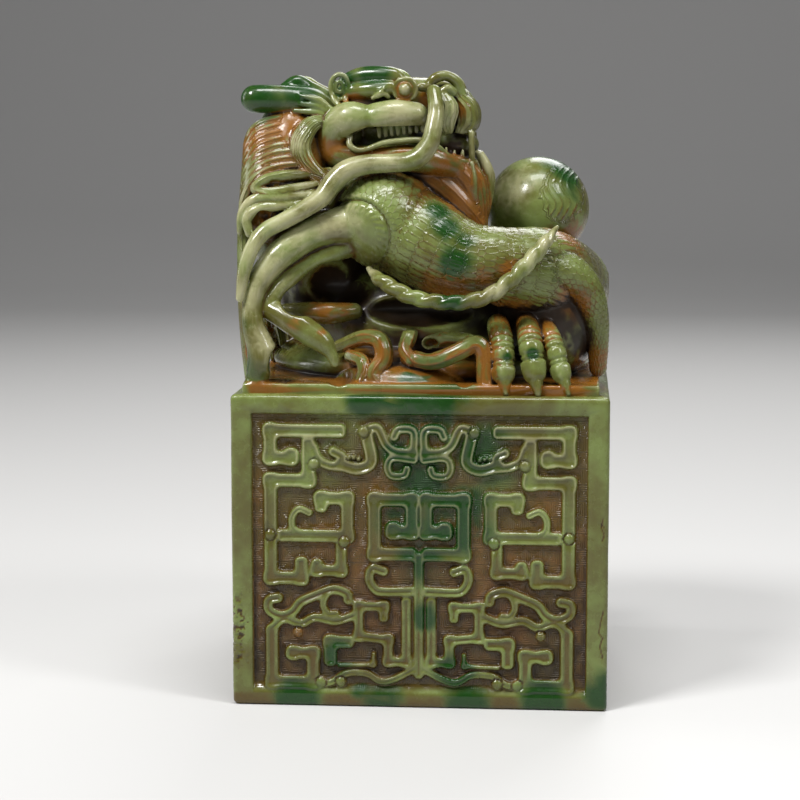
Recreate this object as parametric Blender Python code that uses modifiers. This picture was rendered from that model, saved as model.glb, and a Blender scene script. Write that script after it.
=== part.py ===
"""A square seal stone with fret panels, whose knob is a crouching dragon guarding a pearl.

The whole seal is carved from one stone, so it is one object. Metres, +Z up, the
origin at the middle of the underside, the front panel towards -Y.
"""

import math

import bmesh
import bpy
from mathutils import Matrix, Vector

# The block
BLOCK_WIDTH = 0.060
BLOCK_DEPTH = 0.060
BLOCK_HEIGHT = 0.0503
EDGE_ROUND = 0.0008

# The sunk panels and the bands left standing in them
SIDE_BORDER = 0.0032
TOP_BORDER = 0.0028
FOOT_BORDER = 0.0022
GROUND_DEPTH = 0.0009
BAND_DROP = 0.0001
BAND_ROOT = 0.0004

# The knob
KNOB_HEIGHT = 0.052
KNOB_TRIANGLES = 5600

# The fret is drawn on a half panel of this many units across and up
FRET_ACROSS = 26.8
FRET_UP = 45.3
# The knob is drawn in sixtieths of the block's width and depth, and in
# fifty-seconds of its own height, which are millimetres at the real size
GRID_ACROSS = 60
GRID_UP = 52
CARVING_GRAIN = 0.55

# The front and back fret: (band width, points from the middle outwards and the foot up)
FRET = [
    (2.3, [(11.5, 42.4), (23.7, 42.4), (23.7, 38.0), (21.0, 38.0)]),
    (2.3, [(17.6, 41.5), (17.6, 34.4), (23.7, 34.4), (23.7, 18.6), (18.8, 18.6), (18.8, 22.2)]),
    (2.2, [(22.7, 25.5), (11.4, 25.5), (11.4, 31.6), (15.6, 31.6), (15.6, 29.2)]),
    (2.0, [(12.4, 24.6), (12.4, 19.9), (16.3, 19.9), (16.3, 21.9)]),
    (1.2, [(17.5, 29.2), (19.1, 29.8), (20.2, 28.6), (20.2, 26.9), (19.3, 25.8)]),
    (1.7, [(8.8, 42.3), (6.6, 42.9), (5.2, 40.3), (3.6, 39.2), (0.3, 39.0)]),
    (1.6, [(0.8, 38.4), (0.8, 42.6), (3.6, 42.6)]),
    (1.5, [(0.8, 37.9), (4.1, 38.2), (5.0, 36.9), (4.4, 35.4), (2.4, 35.4)]),
    (1.7, [(16.8, 39.6), (15.8, 37.6), (13.3, 36.8), (12.2, 38.2), (13.6, 39.1)]),
    (2.2, [(12.3, 37.0), (7.6, 36.6), (8.8, 41.0)]),
    (2.3, [(4.1, 28.0), (4.1, 26.3), (0.9, 26.3), (0.9, 31.5), (7.1, 31.5), (7.1, 22.7), (0.3, 22.7)]),
    (1.7, [(6.0, 20.3), (7.4, 20.1), (7.8, 18.6), (6.9, 16.9), (5.2, 16.6), (1.4, 16.7)]),
    (1.7, [(5.6, 11.6), (5.6, 14.2), (9.6, 14.2), (9.6, 9.3), (4.9, 8.8), (4.9, 5.2), (2.0, 5.2),
           (2.0, 15.8)]),
    (2.2, [(10.3, 8.3), (14.2, 8.3), (14.2, 4.2)]),
    (2.2, [(23.6, 10.8), (23.6, 1.6), (17.0, 1.6), (17.0, 6.4), (20.2, 6.4)]),
    (1.3, [(17.0, 1.5), (14.0, 1.7), (11.7, 3.1), (8.5, 3.2), (6.2, 2.0), (4.1, 2.3), (0.8, 4.0)]),
    (1.8, [(22.6, 15.3), (24.0, 14.9), (24.0, 13.3), (22.1, 12.4), (20.2, 13.1), (18.9, 14.7),
           (16.5, 15.8), (13.7, 16.8), (11.6, 16.2)]),
    (1.3, [(15.0, 15.8), (15.3, 14.2), (13.3, 12.9)]),
    (1.6, [(23.6, 10.4), (18.9, 11.5), (13.3, 11.7), (10.5, 12.6)]),
]
# The cosine and sine of each panel's turn from the front, exact so that its bands stay flush
QUARTER_TURNS = [(1, 0), (0, 1), (-1, 0), (0, -1)]
STEM = (1.7, [(0.0, 23.0), (0.0, 2.4)])
# The plainer fret of the two flanks
FLANK_FRET = [
    (2.3, [(11.5, 42.4), (23.7, 42.4), (23.7, 34.4), (16.0, 34.4), (16.0, 38.0)]),
    (2.3, [(17.0, 24.6), (17.0, 28.6), (23.7, 28.6), (23.7, 18.6), (11.4, 18.6), (11.4, 31.6)]),
    (2.3, [(4.1, 28.0), (4.1, 26.3), (0.9, 26.3), (0.9, 31.5), (7.1, 31.5), (7.1, 22.7), (0.3, 22.7)]),
    (2.2, [(1.0, 36.6), (1.0, 42.4), (7.4, 42.4), (7.4, 36.6)]),
    (2.2, [(2.4, 15.2), (2.4, 6.0), (7.6, 6.0), (7.6, 11.0)]),
    (2.2, [(17.4, 8.6), (17.4, 12.6), (23.6, 12.6), (23.6, 2.2), (12.2, 2.2), (12.2, 13.6)]),
]


def grid_scale():
    """The size of the knob's grid, in metres to each unit."""
    return Vector((BLOCK_WIDTH / GRID_ACROSS, BLOCK_DEPTH / GRID_ACROSS, KNOB_HEIGHT / GRID_UP))


def collection(name):
    made = bpy.data.collections.new(name)
    bpy.context.scene.collection.children.link(made)
    return made


def mesh_object(name, mesh, home):
    made = bpy.data.objects.new(name, mesh)
    home.objects.link(made)
    return made


def helper(obj):
    obj.hide_render = True
    obj.display_type = "WIRE"
    return obj


def mesh_of(obj, near):
    """The object's evaluated mesh in world space, points nearer than this welded; it takes its place."""
    bpy.context.view_layer.update()
    graph = bpy.context.evaluated_depsgraph_get()
    mesh = bpy.data.meshes.new_from_object(obj.evaluated_get(graph))
    mesh.transform(obj.matrix_world)
    welded = bmesh.new()
    welded.from_mesh(mesh)
    bmesh.ops.remove_doubles(welded, verts=welded.verts, dist=near)
    bmesh.ops.recalc_face_normals(welded, faces=welded.faces)
    welded.to_mesh(mesh)
    welded.free()
    bpy.data.objects.remove(obj)
    return mesh


class Heap:
    """Closed shapes gathered in one mesh, still overlapping each other."""

    def __init__(self):
        self.shapes = bmesh.new()

    def add(self, mesh):
        self.shapes.from_mesh(mesh)
        bpy.data.meshes.remove(mesh)

    def rope(self, points):
        """A round tapering strand through (across, deep, up, thick) points of the knob's grid."""
        curve = bpy.data.curves.new("strand", "CURVE")
        curve.dimensions = "3D"
        curve.resolution_u = 4
        curve.bevel_depth = 1
        curve.bevel_resolution = 2
        curve.use_fill_caps = True
        spline = curve.splines.new("BEZIER")
        spline.bezier_points.add(len(points) - 1)
        for knot, (*place, thick) in zip(spline.bezier_points, points):
            knot.co = place
            knot.handle_left_type = knot.handle_right_type = "AUTO"
            knot.radius = thick
        strand = bpy.data.objects.new("strand", curve)
        bpy.context.scene.collection.objects.link(strand)
        self.add(mesh_of(strand, 0.001))

    def ball(self, centre, radii):
        """An ellipsoid lump."""
        bmesh.ops.create_uvsphere(
            self.shapes,
            u_segments=24,
            v_segments=12,
            radius=1,
            matrix=Matrix.Translation(centre) @ Matrix.Diagonal((*radii, 1)),
        )

    def globe(self, centre, radius):
        """A lump that stays round whatever the block's width and depth."""
        scale = grid_scale()
        self.ball(centre, [radius * scale.z / part for part in scale])

    def slab(self, centre, halves):
        """A low block, given by half its sizes."""
        matrix = Matrix.Translation(centre) @ Matrix.Diagonal((*halves, 1))
        bmesh.ops.create_cube(self.shapes, size=2, matrix=matrix)

    def made(self, name, home):
        mesh = bpy.data.meshes.new(name)
        self.shapes.to_mesh(mesh)
        self.shapes.free()
        return mesh_object(name, mesh, home)


def across_plane(points, plane):
    """The same points on the other side of a plane that faces front and back."""
    return [(across, 2 * plane - deep, *rest) for across, deep, *rest in points]


def between(first, last, share):
    """The strand that lies this share of the way from the first strand to the last."""
    return [
        tuple(a + (b - a) * share for a, b in zip(start, end)) for start, end in zip(first, last)
    ]


def fan(heap, first, last, count):
    for number in range(count):
        heap.rope(between(first, last, number / (count - 1)))


# The dragon

HEAD_MIDDLE = -9.0
TOE_THICKNESS = [0.95, 1.05, 0.95, 0.55, 0.24]


def toe(heap, root, knuckle, tip, thick):
    """A toe bent over its knuckle, with a claw that comes down to the block."""
    pad = [k + (t - k) * 0.5 + lift for k, t, lift in zip(knuckle, tip, (0, 0, -0.3))]
    nail = [k + (t - k) * 0.76 + lift for k, t, lift in zip(knuckle, tip, (0, 0, -0.2))]
    stations = (root, knuckle, pad, nail, tip)
    heap.rope([(*point, thick * share) for point, share in zip(stations, TOE_THICKNESS)])


def pair(heap, points):
    """A strand on each side of the head."""
    heap.rope(points)
    heap.rope(across_plane(points, HEAD_MIDDLE))


def head(heap):
    heap.ball((-9.5, HEAD_MIDDLE, 45.6), (7.0, 6.8, 4.4))
    heap.ball((-14.5, HEAD_MIDDLE, 40.5), (4.8, 7.2, 6.0))
    skull = [
        [(-8, HEAD_MIDDLE, 45.0, 5.2), (-2, HEAD_MIDDLE, 45.6, 4.5), (3, HEAD_MIDDLE, 45.8, 3.8),
         (5.4, HEAD_MIDDLE, 45.0, 2.8)],
        [(-14, HEAD_MIDDLE, 37.5, 4.6), (-5, HEAD_MIDDLE, 37.0, 3.8), (2, HEAD_MIDDLE, 36.2, 3.2),
         (6, HEAD_MIDDLE, 35.2, 2.5)],
    ]
    for strand in skull:
        heap.rope(strand)
    jaw = [(-15.3, -15.3, 38.6, 2.6), (-13.0, -16.0, 37.2, 2.4), (-8.1, -16.3, 36.7, 2.3),
           (-3.2, -16.2, 37.0, 2.2), (1.1, -15.2, 36.6, 2.2), (4.7, -13.4, 35.4, 2.0)]
    cheek = [(-15.2, -15.6, 40.0, 2.6), (-14.4, -16.4, 42.0, 2.7), (-12.2, -17.2, 43.3, 2.8),
             (-10.4, -17.4, 43.4, 2.4)]
    lip = [(-7.8, -17.2, 43.5, 2.4), (-4.7, -17.1, 44.0, 2.4), (-1.6, -16.4, 43.9, 2.1)]
    brow = [(-13.1, -13.2, 49.4, 1.3), (-10.7, -13.8, 50.1, 1.6), (-7.8, -14.3, 50.3, 1.6),
            (-5.1, -14.8, 50.1, 1.5), (-3.5, -15.1, 49.3, 1.0)]
    temple = [(-12.8, -14.4, 47.6, 1.3), (-9.0, -15.4, 47.9, 1.5), (-5.7, -15.8, 48.3, 1.2)]
    eye = [(-3.6, -15.4, 48.5, 1.5), (-3.0, -15.5, 47.7, 1.5)]
    nose = [(0.2, -13, 48.6, 0.9), (1.5, -13, 49.9, 0.95), (3.3, -12.5, 50.2, 0.95),
            (4.9, -12, 49.1, 0.95), (5.6, -11.5, 47.2, 1.0)]
    bridge = [(-1.0, -14.6, 48.2, 0.9), (0.4, -13.6, 48.0, 0.9), (3.4, -13.0, 47.6, 0.9)]
    tuft = [(2.9, -13.2, 46.9, 1.1), (3.7, -13.8, 45.0, 1.5), (3.3, -13.8, 43.1, 1.4),
            (3.5, -13.3, 41.3, 1.0)]
    moustache = [(5.3, -11.3, 46.4, 1.3), (6.8, -11, 44.6, 1.7), (6.9, -11, 42.5, 1.6),
                 (5.7, -12, 41.0, 1.1)]
    ear = [(-15.3, -17.2, 42.6, 0.7), (-18.0, -18.6, 42.2, 1.2), (-19.6, -19.6, 40.0, 1.4),
           (-19.5, -20.0, 37.1, 1.4), (-17.2, -20.4, 34.7, 1.2), (-14.2, -20.4, 33.3, 0.7)]
    horn = [(-15.6, -13.0, 44.6, 1.6), (-18.5, -14.2, 46.1, 2.0), (-21.9, -15.4, 46.4, 2.2),
            (-25.6, -16.2, 46.4, 2.25), (-27.4, -16.4, 46.4, 2.1)]
    hump = [(-22.9, -14, 48.0, 1.3), (-21.0, -13.4, 49.0, 1.5), (-19.0, -13, 48.2, 1.3),
            (-16.6, -13, 47.2, 1.1)]
    curl = [(-14.0, -13.8, 47.4, 1.9), (-13.7, -13.8, 49.0, 1.6)]
    tie = [(-20.1, -16.7, 46.0, 0.9), (-17.2, -17.0, 45.2, 1.0), (-14.0, -16.4, 44.4, 0.9)]
    fang = [(7.3, -12.6, 41.0, 0.8), (7.4, -12.9, 38.2, 0.7), (7.4, -12.9, 35.9, 0.8)]
    for strand in (jaw, cheek, lip, brow, temple, eye, nose, bridge, tuft, moustache, ear, horn, hump,
                   curl, tie, fang):
        pair(heap, strand)


def beard(heap):
    strands = [
        [(3.6, -12.5, 36.0, 2.2), (6.6, -12.2, 33.4, 2.9), (8.0, -12.4, 29.8, 2.2), (9.1, -13, 26.2, 1.0)],
        [(8.4, -11, 38.0, 0.8), (9.7, -11, 35.6, 1.0), (10.3, -11, 33.4, 1.0), (9.9, -11.5, 29.9, 0.9),
         (9.3, -12.4, 26.2, 0.8)],
        [(6.6, -5.8, 36.6, 2.3), (7, -6.2, 33.7, 3.2), (8, -8.0, 30.2, 2.3), (9.1, -10, 27, 1.0)],
    ]
    for strand in strands:
        heap.rope(strand)


def whiskers(heap):
    heap.rope([(1.4, -16.2, 47.6, 1.2), (1.9, -18.4, 44.7, 1.3), (1.6, -19.6, 41.9, 1.4),
               (0.9, -20.3, 39.2, 1.55), (-1.3, -20.6, 36.9, 1.6), (-5.0, -20.5, 36.3, 1.5),
               (-8.9, -20.4, 36.1, 1.6), (-12.2, -20.5, 35.2, 1.7), (-14.4, -21, 33.3, 1.65),
               (-16.1, -22, 30.9, 1.5), (-18.5, -23, 29.2, 1.4), (-21.8, -24, 27.3, 1.35),
               (-24.9, -25, 25.6, 1.3), (-26.8, -26, 23.0, 1.2), (-28.0, -26.6, 19.5, 1.1),
               (-28.7, -26.8, 15.1, 0.7)])
    heap.rope([(1.4, -1.8, 47.6, 1.2), (1.9, 0.4, 44.7, 1.3), (1.6, 1.6, 41.9, 1.4), (0.0, 3.4, 38.6, 1.5),
               (-5.0, 6.5, 36.4, 1.5), (-11.0, 10.0, 34.0, 1.5), (-16.0, 13.5, 30.0, 1.4),
               (-20.0, 17.0, 25.0, 1.1), (-21.6, 19.4, 20.5, 0.7)])


def mane(heap):
    heap.ball((-19.0, -4.0, 25.0), (8.5, 15.0, 18.0))
    heap.ball((-14.0, 2.0, 34.0), (8.0, 9.0, 10.0))
    heap.ball((-22.0, -11.5, 35.5), (6.9, 8.5, 11.5))
    heap.ball((-22.5, -14.0, 26.0), (6.6, 8.5, 9.0))
    locks = [
        [(-17.6, -15.2, 43.2, 1.0), (-22.6, -16.4, 43.4, 1.2), (-26.8, -16.8, 42.2, 1.2),
         (-28.6, -16.8, 39.6, 1.1), (-29.0, -16.8, 35.6, 0.8)],
        [(-19.2, -16.5, 41.6, 1.0), (-24.0, -17.9, 41.0, 1.2), (-27.4, -18.4, 38.8, 1.25),
         (-28.9, -18.5, 35.4, 0.9)],
        [(-20.0, -17.5, 39.8, 1.0), (-24.4, -19.0, 39.0, 1.2), (-27.8, -19.5, 36.4, 1.25),
         (-29.0, -19.6, 32.7, 0.9)],
        [(-20.1, -18.5, 37.9, 1.0), (-24.6, -20.0, 36.9, 1.2), (-28.0, -20.5, 34.0, 1.2),
         (-29.1, -20.6, 29.9, 0.8)],
        [(-19.4, -19.5, 36.0, 1.0), (-24.8, -21.0, 35.0, 1.1), (-28.1, -21.5, 32.0, 1.1),
         (-29.0, -21.6, 28.0, 0.8)],
        [(-19.0, -20.3, 34.0, 0.9), (-22.1, -21.7, 34.0, 1.0), (-25.0, -22.3, 33.4, 1.0),
         (-26.7, -22.6, 32.0, 0.9), (-24.3, -22.6, 31.4, 1.0), (-21.2, -21.8, 32.0, 1.0),
         (-18.2, -20.7, 32.8, 0.9)],
        [(-18.4, -21.4, 31.2, 0.9), (-22.4, -22.9, 30.8, 1.0), (-26.6, -23.3, 30.5, 1.0),
         (-28.4, -23.2, 28.6, 0.9), (-28.9, -23.3, 26.0, 0.8)],
        [(-28.6, -19, 30.9, 1.1), (-28.7, -21.4, 26.4, 1.2), (-28.7, -22.2, 20.0, 1.2),
         (-28.5, -22.4, 13.6, 1.3), (-28.0, -22.2, 7.1, 1.4), (-27.2, -22, 0.4, 1.5)],
    ]
    for lock in locks:
        heap.rope(lock)
    fan(heap, [(-17.0, -12, 45.0, 1.6), (-24.5, -12, 42.5, 1.8), (-28.0, -12, 36.0, 1.8),
               (-28.4, -13, 27.0, 1.0)],
        [(-13.0, 0.5, 45.0, 1.6), (-20.0, 8.5, 39.0, 1.9), (-24.5, 12.5, 31.0, 1.9),
         (-26.5, 10, 22.0, 1.0)], 5)
    fan(heap, [(-12.0, 1.0, 45.0, 1.6), (-16.5, 10.0, 39.0, 1.9), (-19.0, 14.0, 31.5, 1.7),
               (-22.5, 15.5, 25.0, 0.9)],
        [(-2.0, 0.5, 42.5, 1.5), (-4.0, 7.5, 37.0, 1.8), (-6.0, 12.0, 30.0, 1.6),
         (-10.0, 15.0, 25.0, 0.9)], 4)


def body(heap):
    heap.ball((-6.4, -15.0, 27.0), (8.2, 8.8, 8.2))
    heap.rope([(-5.0, -8, 26, 8.0), (-7.0, -3, 34, 8.0), (-8.0, -6, 41, 7.0), (-9.0, -9, 45, 5.0)])
    heap.rope([(-1.3, -10, 31.7, 4.3), (3.0, -9.5, 28.0, 4.5)])
    heap.rope([(-6, -14, 27, 7.5), (0, -17, 23.5, 7.2), (6, -18.5, 20.6, 6.4), (12.2, -18.5, 19.9, 6.0),
               (18.6, -15, 18.5, 7.2), (21.5, -6, 16, 7.8), (23.0, 5, 15.0, 6.8), (18.0, 16.5, 15.0, 7.0),
               (6.0, 20.5, 14.0, 6.6), (-8.0, 20.3, 13.5, 5.8), (-18.0, 16.5, 15.5, 4.8),
               (-23.6, 10.0, 20.0, 3.6), (-25.2, 3.5, 24.5, 2.4), (-24.6, 0.0, 28.5, 1.2)])
    heap.ball((19.6, -9.0, 11.5), (9.2, 11.0, 11.5))
    heap.rope([(12.3, -19, 15.0, 1.8), (16.8, -20, 17.8, 2.9), (21.0, -18.5, 19.5, 3.8),
               (24.5, -16.5, 15.9, 4.2), (25.6, -14.5, 10.1, 3.6), (26.2, -12.5, 3.0, 2.8)])
    heap.ball((16.0, 17.0, 11.0), (9.0, 8.5, 10.0))


def crest(heap, points, gap):
    """A serrated fin: leaning leaves this far apart along a thin ridge."""
    heap.rope([(*place, 0.6 * thick) for *place, thick in points])
    rest = 0.0
    for (*first, thin), (*last, thick) in zip(points, points[1:]):
        step = Vector(last) - Vector(first)
        while rest < step.length:
            root = Vector(first) + step * rest / step.length
            lean = step.normalized() * 0.4 * gap
            wide = thin + (thick - thin) * rest / step.length
            heap.rope([(*(root - lean - Vector((0, 0, 0.5 * wide))), 0.7 * wide),
                       (*(root + lean + Vector((0, 0, 0.3 * wide))), wide)])
            rest += gap
        rest -= step.length


def fins(heap):
    """The serrated crest: along the flank in front, and round the back."""
    crest(heap, [(-8.8, -20.5, 19.0, 0.7), (-6.2, -24, 17.6, 1.1), (-1.8, -26, 15.5, 1.3),
                 (2.7, -27, 14.7, 1.35), (7.1, -27, 14.7, 1.35), (11.0, -26.6, 15.8, 1.35),
                 (14.3, -26, 18.2, 1.3), (17.0, -25, 20.9, 1.25), (19.4, -23.5, 23.7, 1.1),
                 (21.2, -21.5, 26.1, 0.8)], 2.3)
    crest(heap, [(23.0, 2, 21.8, 0.8), (23.5, 12, 21.6, 1.3), (17.0, 20.5, 21.5, 1.3),
                 (6.0, 24.5, 20.3, 1.3), (-8.0, 23.8, 18.8, 1.2), (-18.0, 19.5, 19.6, 1.1),
                 (-24.0, 12.5, 22.8, 0.8)], 3.4)


def legs(heap):
    heap.rope([(-10, -17, 27.4, 4.0), (-15.3, -19.5, 26.0, 2.8), (-18.7, -21, 24.5, 2.4),
               (-22.1, -23, 22.3, 2.4), (-24.6, -24, 19.7, 2.1), (-26.4, -25, 16.7, 1.8),
               (-27.2, -25.5, 13.4, 1.6), (-26.8, -26, 10.2, 1.8), (-25.9, -26, 6.8, 2.4),
               (-26.0, -25.5, 0.4, 2.1)])
    heap.rope([(-11.0, -18, 23.5, 2.0), (-18.4, -21, 20.2, 1.5), (-22.2, -23, 17.1, 1.5),
               (-24.5, -24, 14.0, 1.6)])
    heap.rope([(-25.0, -24, 13.4, 1.6), (-21.6, -25, 11.9, 2.1), (-18.6, -26, 10.1, 2.1),
               (-15.8, -26.5, 8.3, 1.8), (-14.0, -27, 6.3, 1.1), (-13.2, -27.5, 3.8, 0.6)])
    heap.rope([(-23.5, -11, 12.8, 1.6), (-19.1, -12, 13.2, 1.8), (-15.3, -12, 13.3, 1.8),
               (-11.0, -11, 14.0, 1.6)])
    toe(heap, (12.0, -19, 10.4), (12.8, -24.2, 7.8), (13.6, -28.0, 0.4), 1.8)
    toe(heap, (16.7, -19, 10.8), (17.3, -25.0, 8.4), (18.7, -28.5, 0.4), 1.8)
    toe(heap, (19.4, -19, 10.5), (20.9, -24.2, 8.0), (23.5, -28.0, 0.4), 1.45)
    for number in range(3):
        toe(heap, (9.5 + 3.6 * number, 19, 10.5), (9.0 + 4.4 * number, 24.6, 8.0),
            (8.6 + 5.0 * number, 28.0, 0.4), 1.8)
        toe(heap, (-20.5 + 2.4 * number, 22, 8.5), (-23.0 + 3.8 * number, 25.4, 6.6),
            (-24.0 + 4.8 * number, 28.0, 0.4), 1.5)
    heap.rope([(-12, 6, 31, 4.0), (-17, 14, 27.5, 3.2), (-21.5, 20.0, 22.0, 2.8),
               (-23.0, 23.2, 15.0, 2.4), (-20.5, 24.0, 8.5, 3.0)])


def clouds(heap):
    heap.slab((0.0, 0.3, 0.3), (28.3, 27.8, 1.3))
    heap.ball((0.0, 1.5, 3.0), (27.6, 25.0, 6.0))
    heap.ball((0.0, 2.5, 9.0), (24.5, 21.5, 15.0))
    heap.ball((-3.5, -20.5, 0.6), (11.0, 6.2, 4.0))
    strands = [
        [(-2.1, -23, 5.3, 0.9), (2.1, -25, 5.1, 1.0), (5.7, -25.5, 6.5, 1.0), (8.6, -25, 7.9, 1.0),
         (10.0, -25, 6.4, 1.0), (10.2, -25.5, 2.8, 1.0), (10.7, -26, 0.4, 1.0)],
        [(1.0, -21, 7.6, 0.8), (4.1, -21.5, 8.4, 0.9), (6.8, -22.5, 8.3, 0.9), (9.3, -23.5, 7.3, 0.8)],
        [(-13.5, -20, 6.8, 0.8), (-9.7, -21, 8.3, 0.9), (-6.8, -22.5, 8.0, 1.0), (-6.1, -23.5, 5.3, 1.0),
         (-7.6, -24.5, 2.5, 0.9), (-5.6, -25.5, 0.5, 0.8)],
        [(-11.5, -21, 5.3, 0.8), (-9.5, -23, 4.6, 0.8), (-9.2, -24, 2.5, 0.8), (-10.1, -25, 0.5, 0.7)],
        [(-1.9, -19, 10.3, 0.8), (-2.2, -21.5, 8.4, 0.9), (-2.7, -23, 6.6, 0.8), (-1.7, -24, 5.2, 0.8)],
    ]
    for strand in strands:
        heap.rope(strand)
    fan(heap, [(27.0, -4, 9, 1.2), (27.6, 2, 6.0, 1.3), (27.2, 8, 7.0, 1.3), (26.0, 12, 3.0, 1.0)],
        [(26.6, 8, 13, 1.2), (26.6, 14, 9.0, 1.3), (25.6, 20, 9.0, 1.3), (24.0, 24, 2.0, 1.0)], 3)
    fan(heap, [(-27.0, -16, 9, 1.2), (-27.8, -9, 6.0, 1.3), (-27.4, -3, 7.0, 1.3), (-27.4, 4, 2.0, 1.0)],
        [(-26.4, -6, 15, 1.2), (-27.0, 1, 12.0, 1.3), (-26.8, 8, 12.0, 1.3), (-26.6, 16, 5.0, 1.0)], 3)
    fan(heap, [(3.0, 22, 9, 1.1), (-1.0, 25, 7.0, 1.3), (-5.0, 26, 4.5, 1.2), (-9.0, 26.4, 1.0, 1.0)],
        [(-2.0, 20, 12, 1.1), (-8.0, 24.6, 9.5, 1.3), (-12.0, 25.6, 7.0, 1.2),
         (-14.5, 26.4, 2.0, 1.0)], 2)


def pearl(heap):
    heap.globe((17.9, 3.0, 28.3), 8.7)


def hollows(heap):
    """What is cut away: the open mouth, the space under the foreleg and the holes between the clouds."""
    for inwards in (0.0, 1.6):
        pair(heap, [(-10.6, -18.4 + inwards, 40.1, 1.2), (-8.6, -18.2 + inwards, 40.7, 1.3),
                    (-4.7, -17.8 + inwards, 41.1, 1.2), (-0.6, -16.8 + inwards, 41.0, 1.3),
                    (2.5, -15.8 + inwards, 39.8, 1.4), (4.8, -14.4 + inwards, 39.3, 1.7),
                    (9.0, -12.6 + inwards, 39.4, 1.7)])
    heap.rope([(4.8, -14, 39.2, 1.7), (5.4, -9, 39.4, 1.8), (4.8, -4, 39.2, 1.7)])
    heap.ball((-14.0, -22.5, 15.6), (4.6, 9.0, 4.3))
    heap.ball((-19.5, -23.0, 14.2), (3.0, 6.0, 2.4))
    heap.ball((-21.3, -25.5, 4.6), (3.2, 4.5, 3.2))
    heap.ball((-13.0, -25.0, 2.8), (2.0, 4.0, 2.0))
    heap.ball((1.2, -23.5, 7.4), (1.6, 3.0, 1.3))
    heap.ball((7.0, -26.5, 3.2), (2.0, 2.6, 2.2))
    heap.ball((4.6, -24.0, 10.8), (6.0, 4.0, 1.8))


def melt(obj):
    """Overlapping closed shapes become one skin."""
    skin = obj.modifiers.new("Melt", "REMESH")
    skin.mode = "VOXEL"
    skin.voxel_size = CARVING_GRAIN


def knob(cutters):
    """Every part of the dragon melted into one closed mesh, then hollowed and thinned out."""
    heap = Heap()
    for part in (head, beard, whiskers, mane, body, fins, legs, clouds, pearl):
        part(heap)
    carved = heap.made("knob", cutters)
    cut = Heap()
    hollows(cut)
    cutter = cut.made("hollows", cutters)
    for grown in (cutter, carved):
        grown.scale = grid_scale()
        grown.location.z = BLOCK_HEIGHT
        melt(grown)
    combine(carved, "Carve", "DIFFERENCE", cutter)
    melt(carved)
    polish = carved.modifiers.new("Polish", "SMOOTH")
    polish.factor = 0.5
    polish.iterations = 1
    bpy.context.view_layer.update()
    graph = bpy.context.evaluated_depsgraph_get()
    fine = carved.evaluated_get(graph).to_mesh()
    fine.calc_loop_triangles()
    coarse = carved.modifiers.new("Coarse", "DECIMATE")
    coarse.ratio = KNOB_TRIANGLES / len(fine.loop_triangles)
    return carved


# The block

def outline(points, width):
    """Both edges of a band of this width along the points, with mitred corners."""
    near, far = [], []
    for number, point in enumerate(points):
        before = (point - points[number - 1]) if number else (points[1] - point)
        after = (points[number + 1] - point) if number + 1 < len(points) else before
        before, after = before.normalized(), after.normalized()
        side = Vector((-(before.y + after.y), before.x + after.x)).normalized()
        reach = width / 2 / side.dot(Vector((-before.y, before.x)))
        near.append(point + side * reach)
        far.append(point - side * reach)
    return near + far[::-1]


def band(edges, thick):
    """A flat bar with this outline, its middle in the XY plane."""
    curve = bpy.data.curves.new("band", "CURVE")
    curve.dimensions = "2D"
    curve.fill_mode = "BOTH"
    curve.extrude = thick / 2
    spline = curve.splines.new("POLY")
    spline.points.add(len(edges) - 1)
    for corner, edge in zip(spline.points, edges):
        corner.co = (edge.x, edge.y, 0, 1)
    spline.use_cyclic_u = True
    made = bpy.data.objects.new("band", curve)
    bpy.context.scene.collection.objects.link(made)
    return made


def fret(heap, bands, turn):
    """The bands of one panel and their mirror image, on the face this many quarter turns from the front."""
    flank = turn % 2
    half = (BLOCK_DEPTH if flank else BLOCK_WIDTH) / 2 - SIDE_BORDER
    face = (BLOCK_WIDTH if flank else BLOCK_DEPTH) / 2
    high = BLOCK_HEIGHT - TOP_BORDER - FOOT_BORDER
    thick = GROUND_DEPTH - BAND_DROP + BAND_ROOT
    middle = face - BAND_DROP - thick / 2
    cosine, sine = QUARTER_TURNS[turn]
    stand = Matrix(
        (
            (cosine, 0, sine, sine * middle),
            (sine, 0, -cosine, -cosine * middle),
            (0, 1, 0, 0),
            (0, 0, 0, 1),
        )
    )
    for mirror in (1, -1):
        for width, points in bands:
            if mirror < 0 and all(across == 0 for across, up in points):
                continue
            placed = [
                Vector((mirror * across / FRET_ACROSS * half, FOOT_BORDER + up / FRET_UP * high))
                for across, up in points
            ]
            bar = band(outline(placed, width / FRET_ACROSS * half), thick)
            bar.matrix_world = stand
            heap.add(mesh_of(bar, 1e-6))


def box(name, size, centre, home):
    bpy.ops.mesh.primitive_cube_add(size=1, location=centre)
    made = bpy.context.object
    made.name = name
    made.scale = size
    bpy.ops.object.transform_apply(location=True, rotation=False, scale=True)
    for other in made.users_collection:
        other.objects.unlink(made)
    home.objects.link(made)
    return made


def combine(stone, name, operation, other):
    step = stone.modifiers.new(name, "BOOLEAN")
    step.operation = operation
    step.object = helper(other)
    return step


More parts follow.
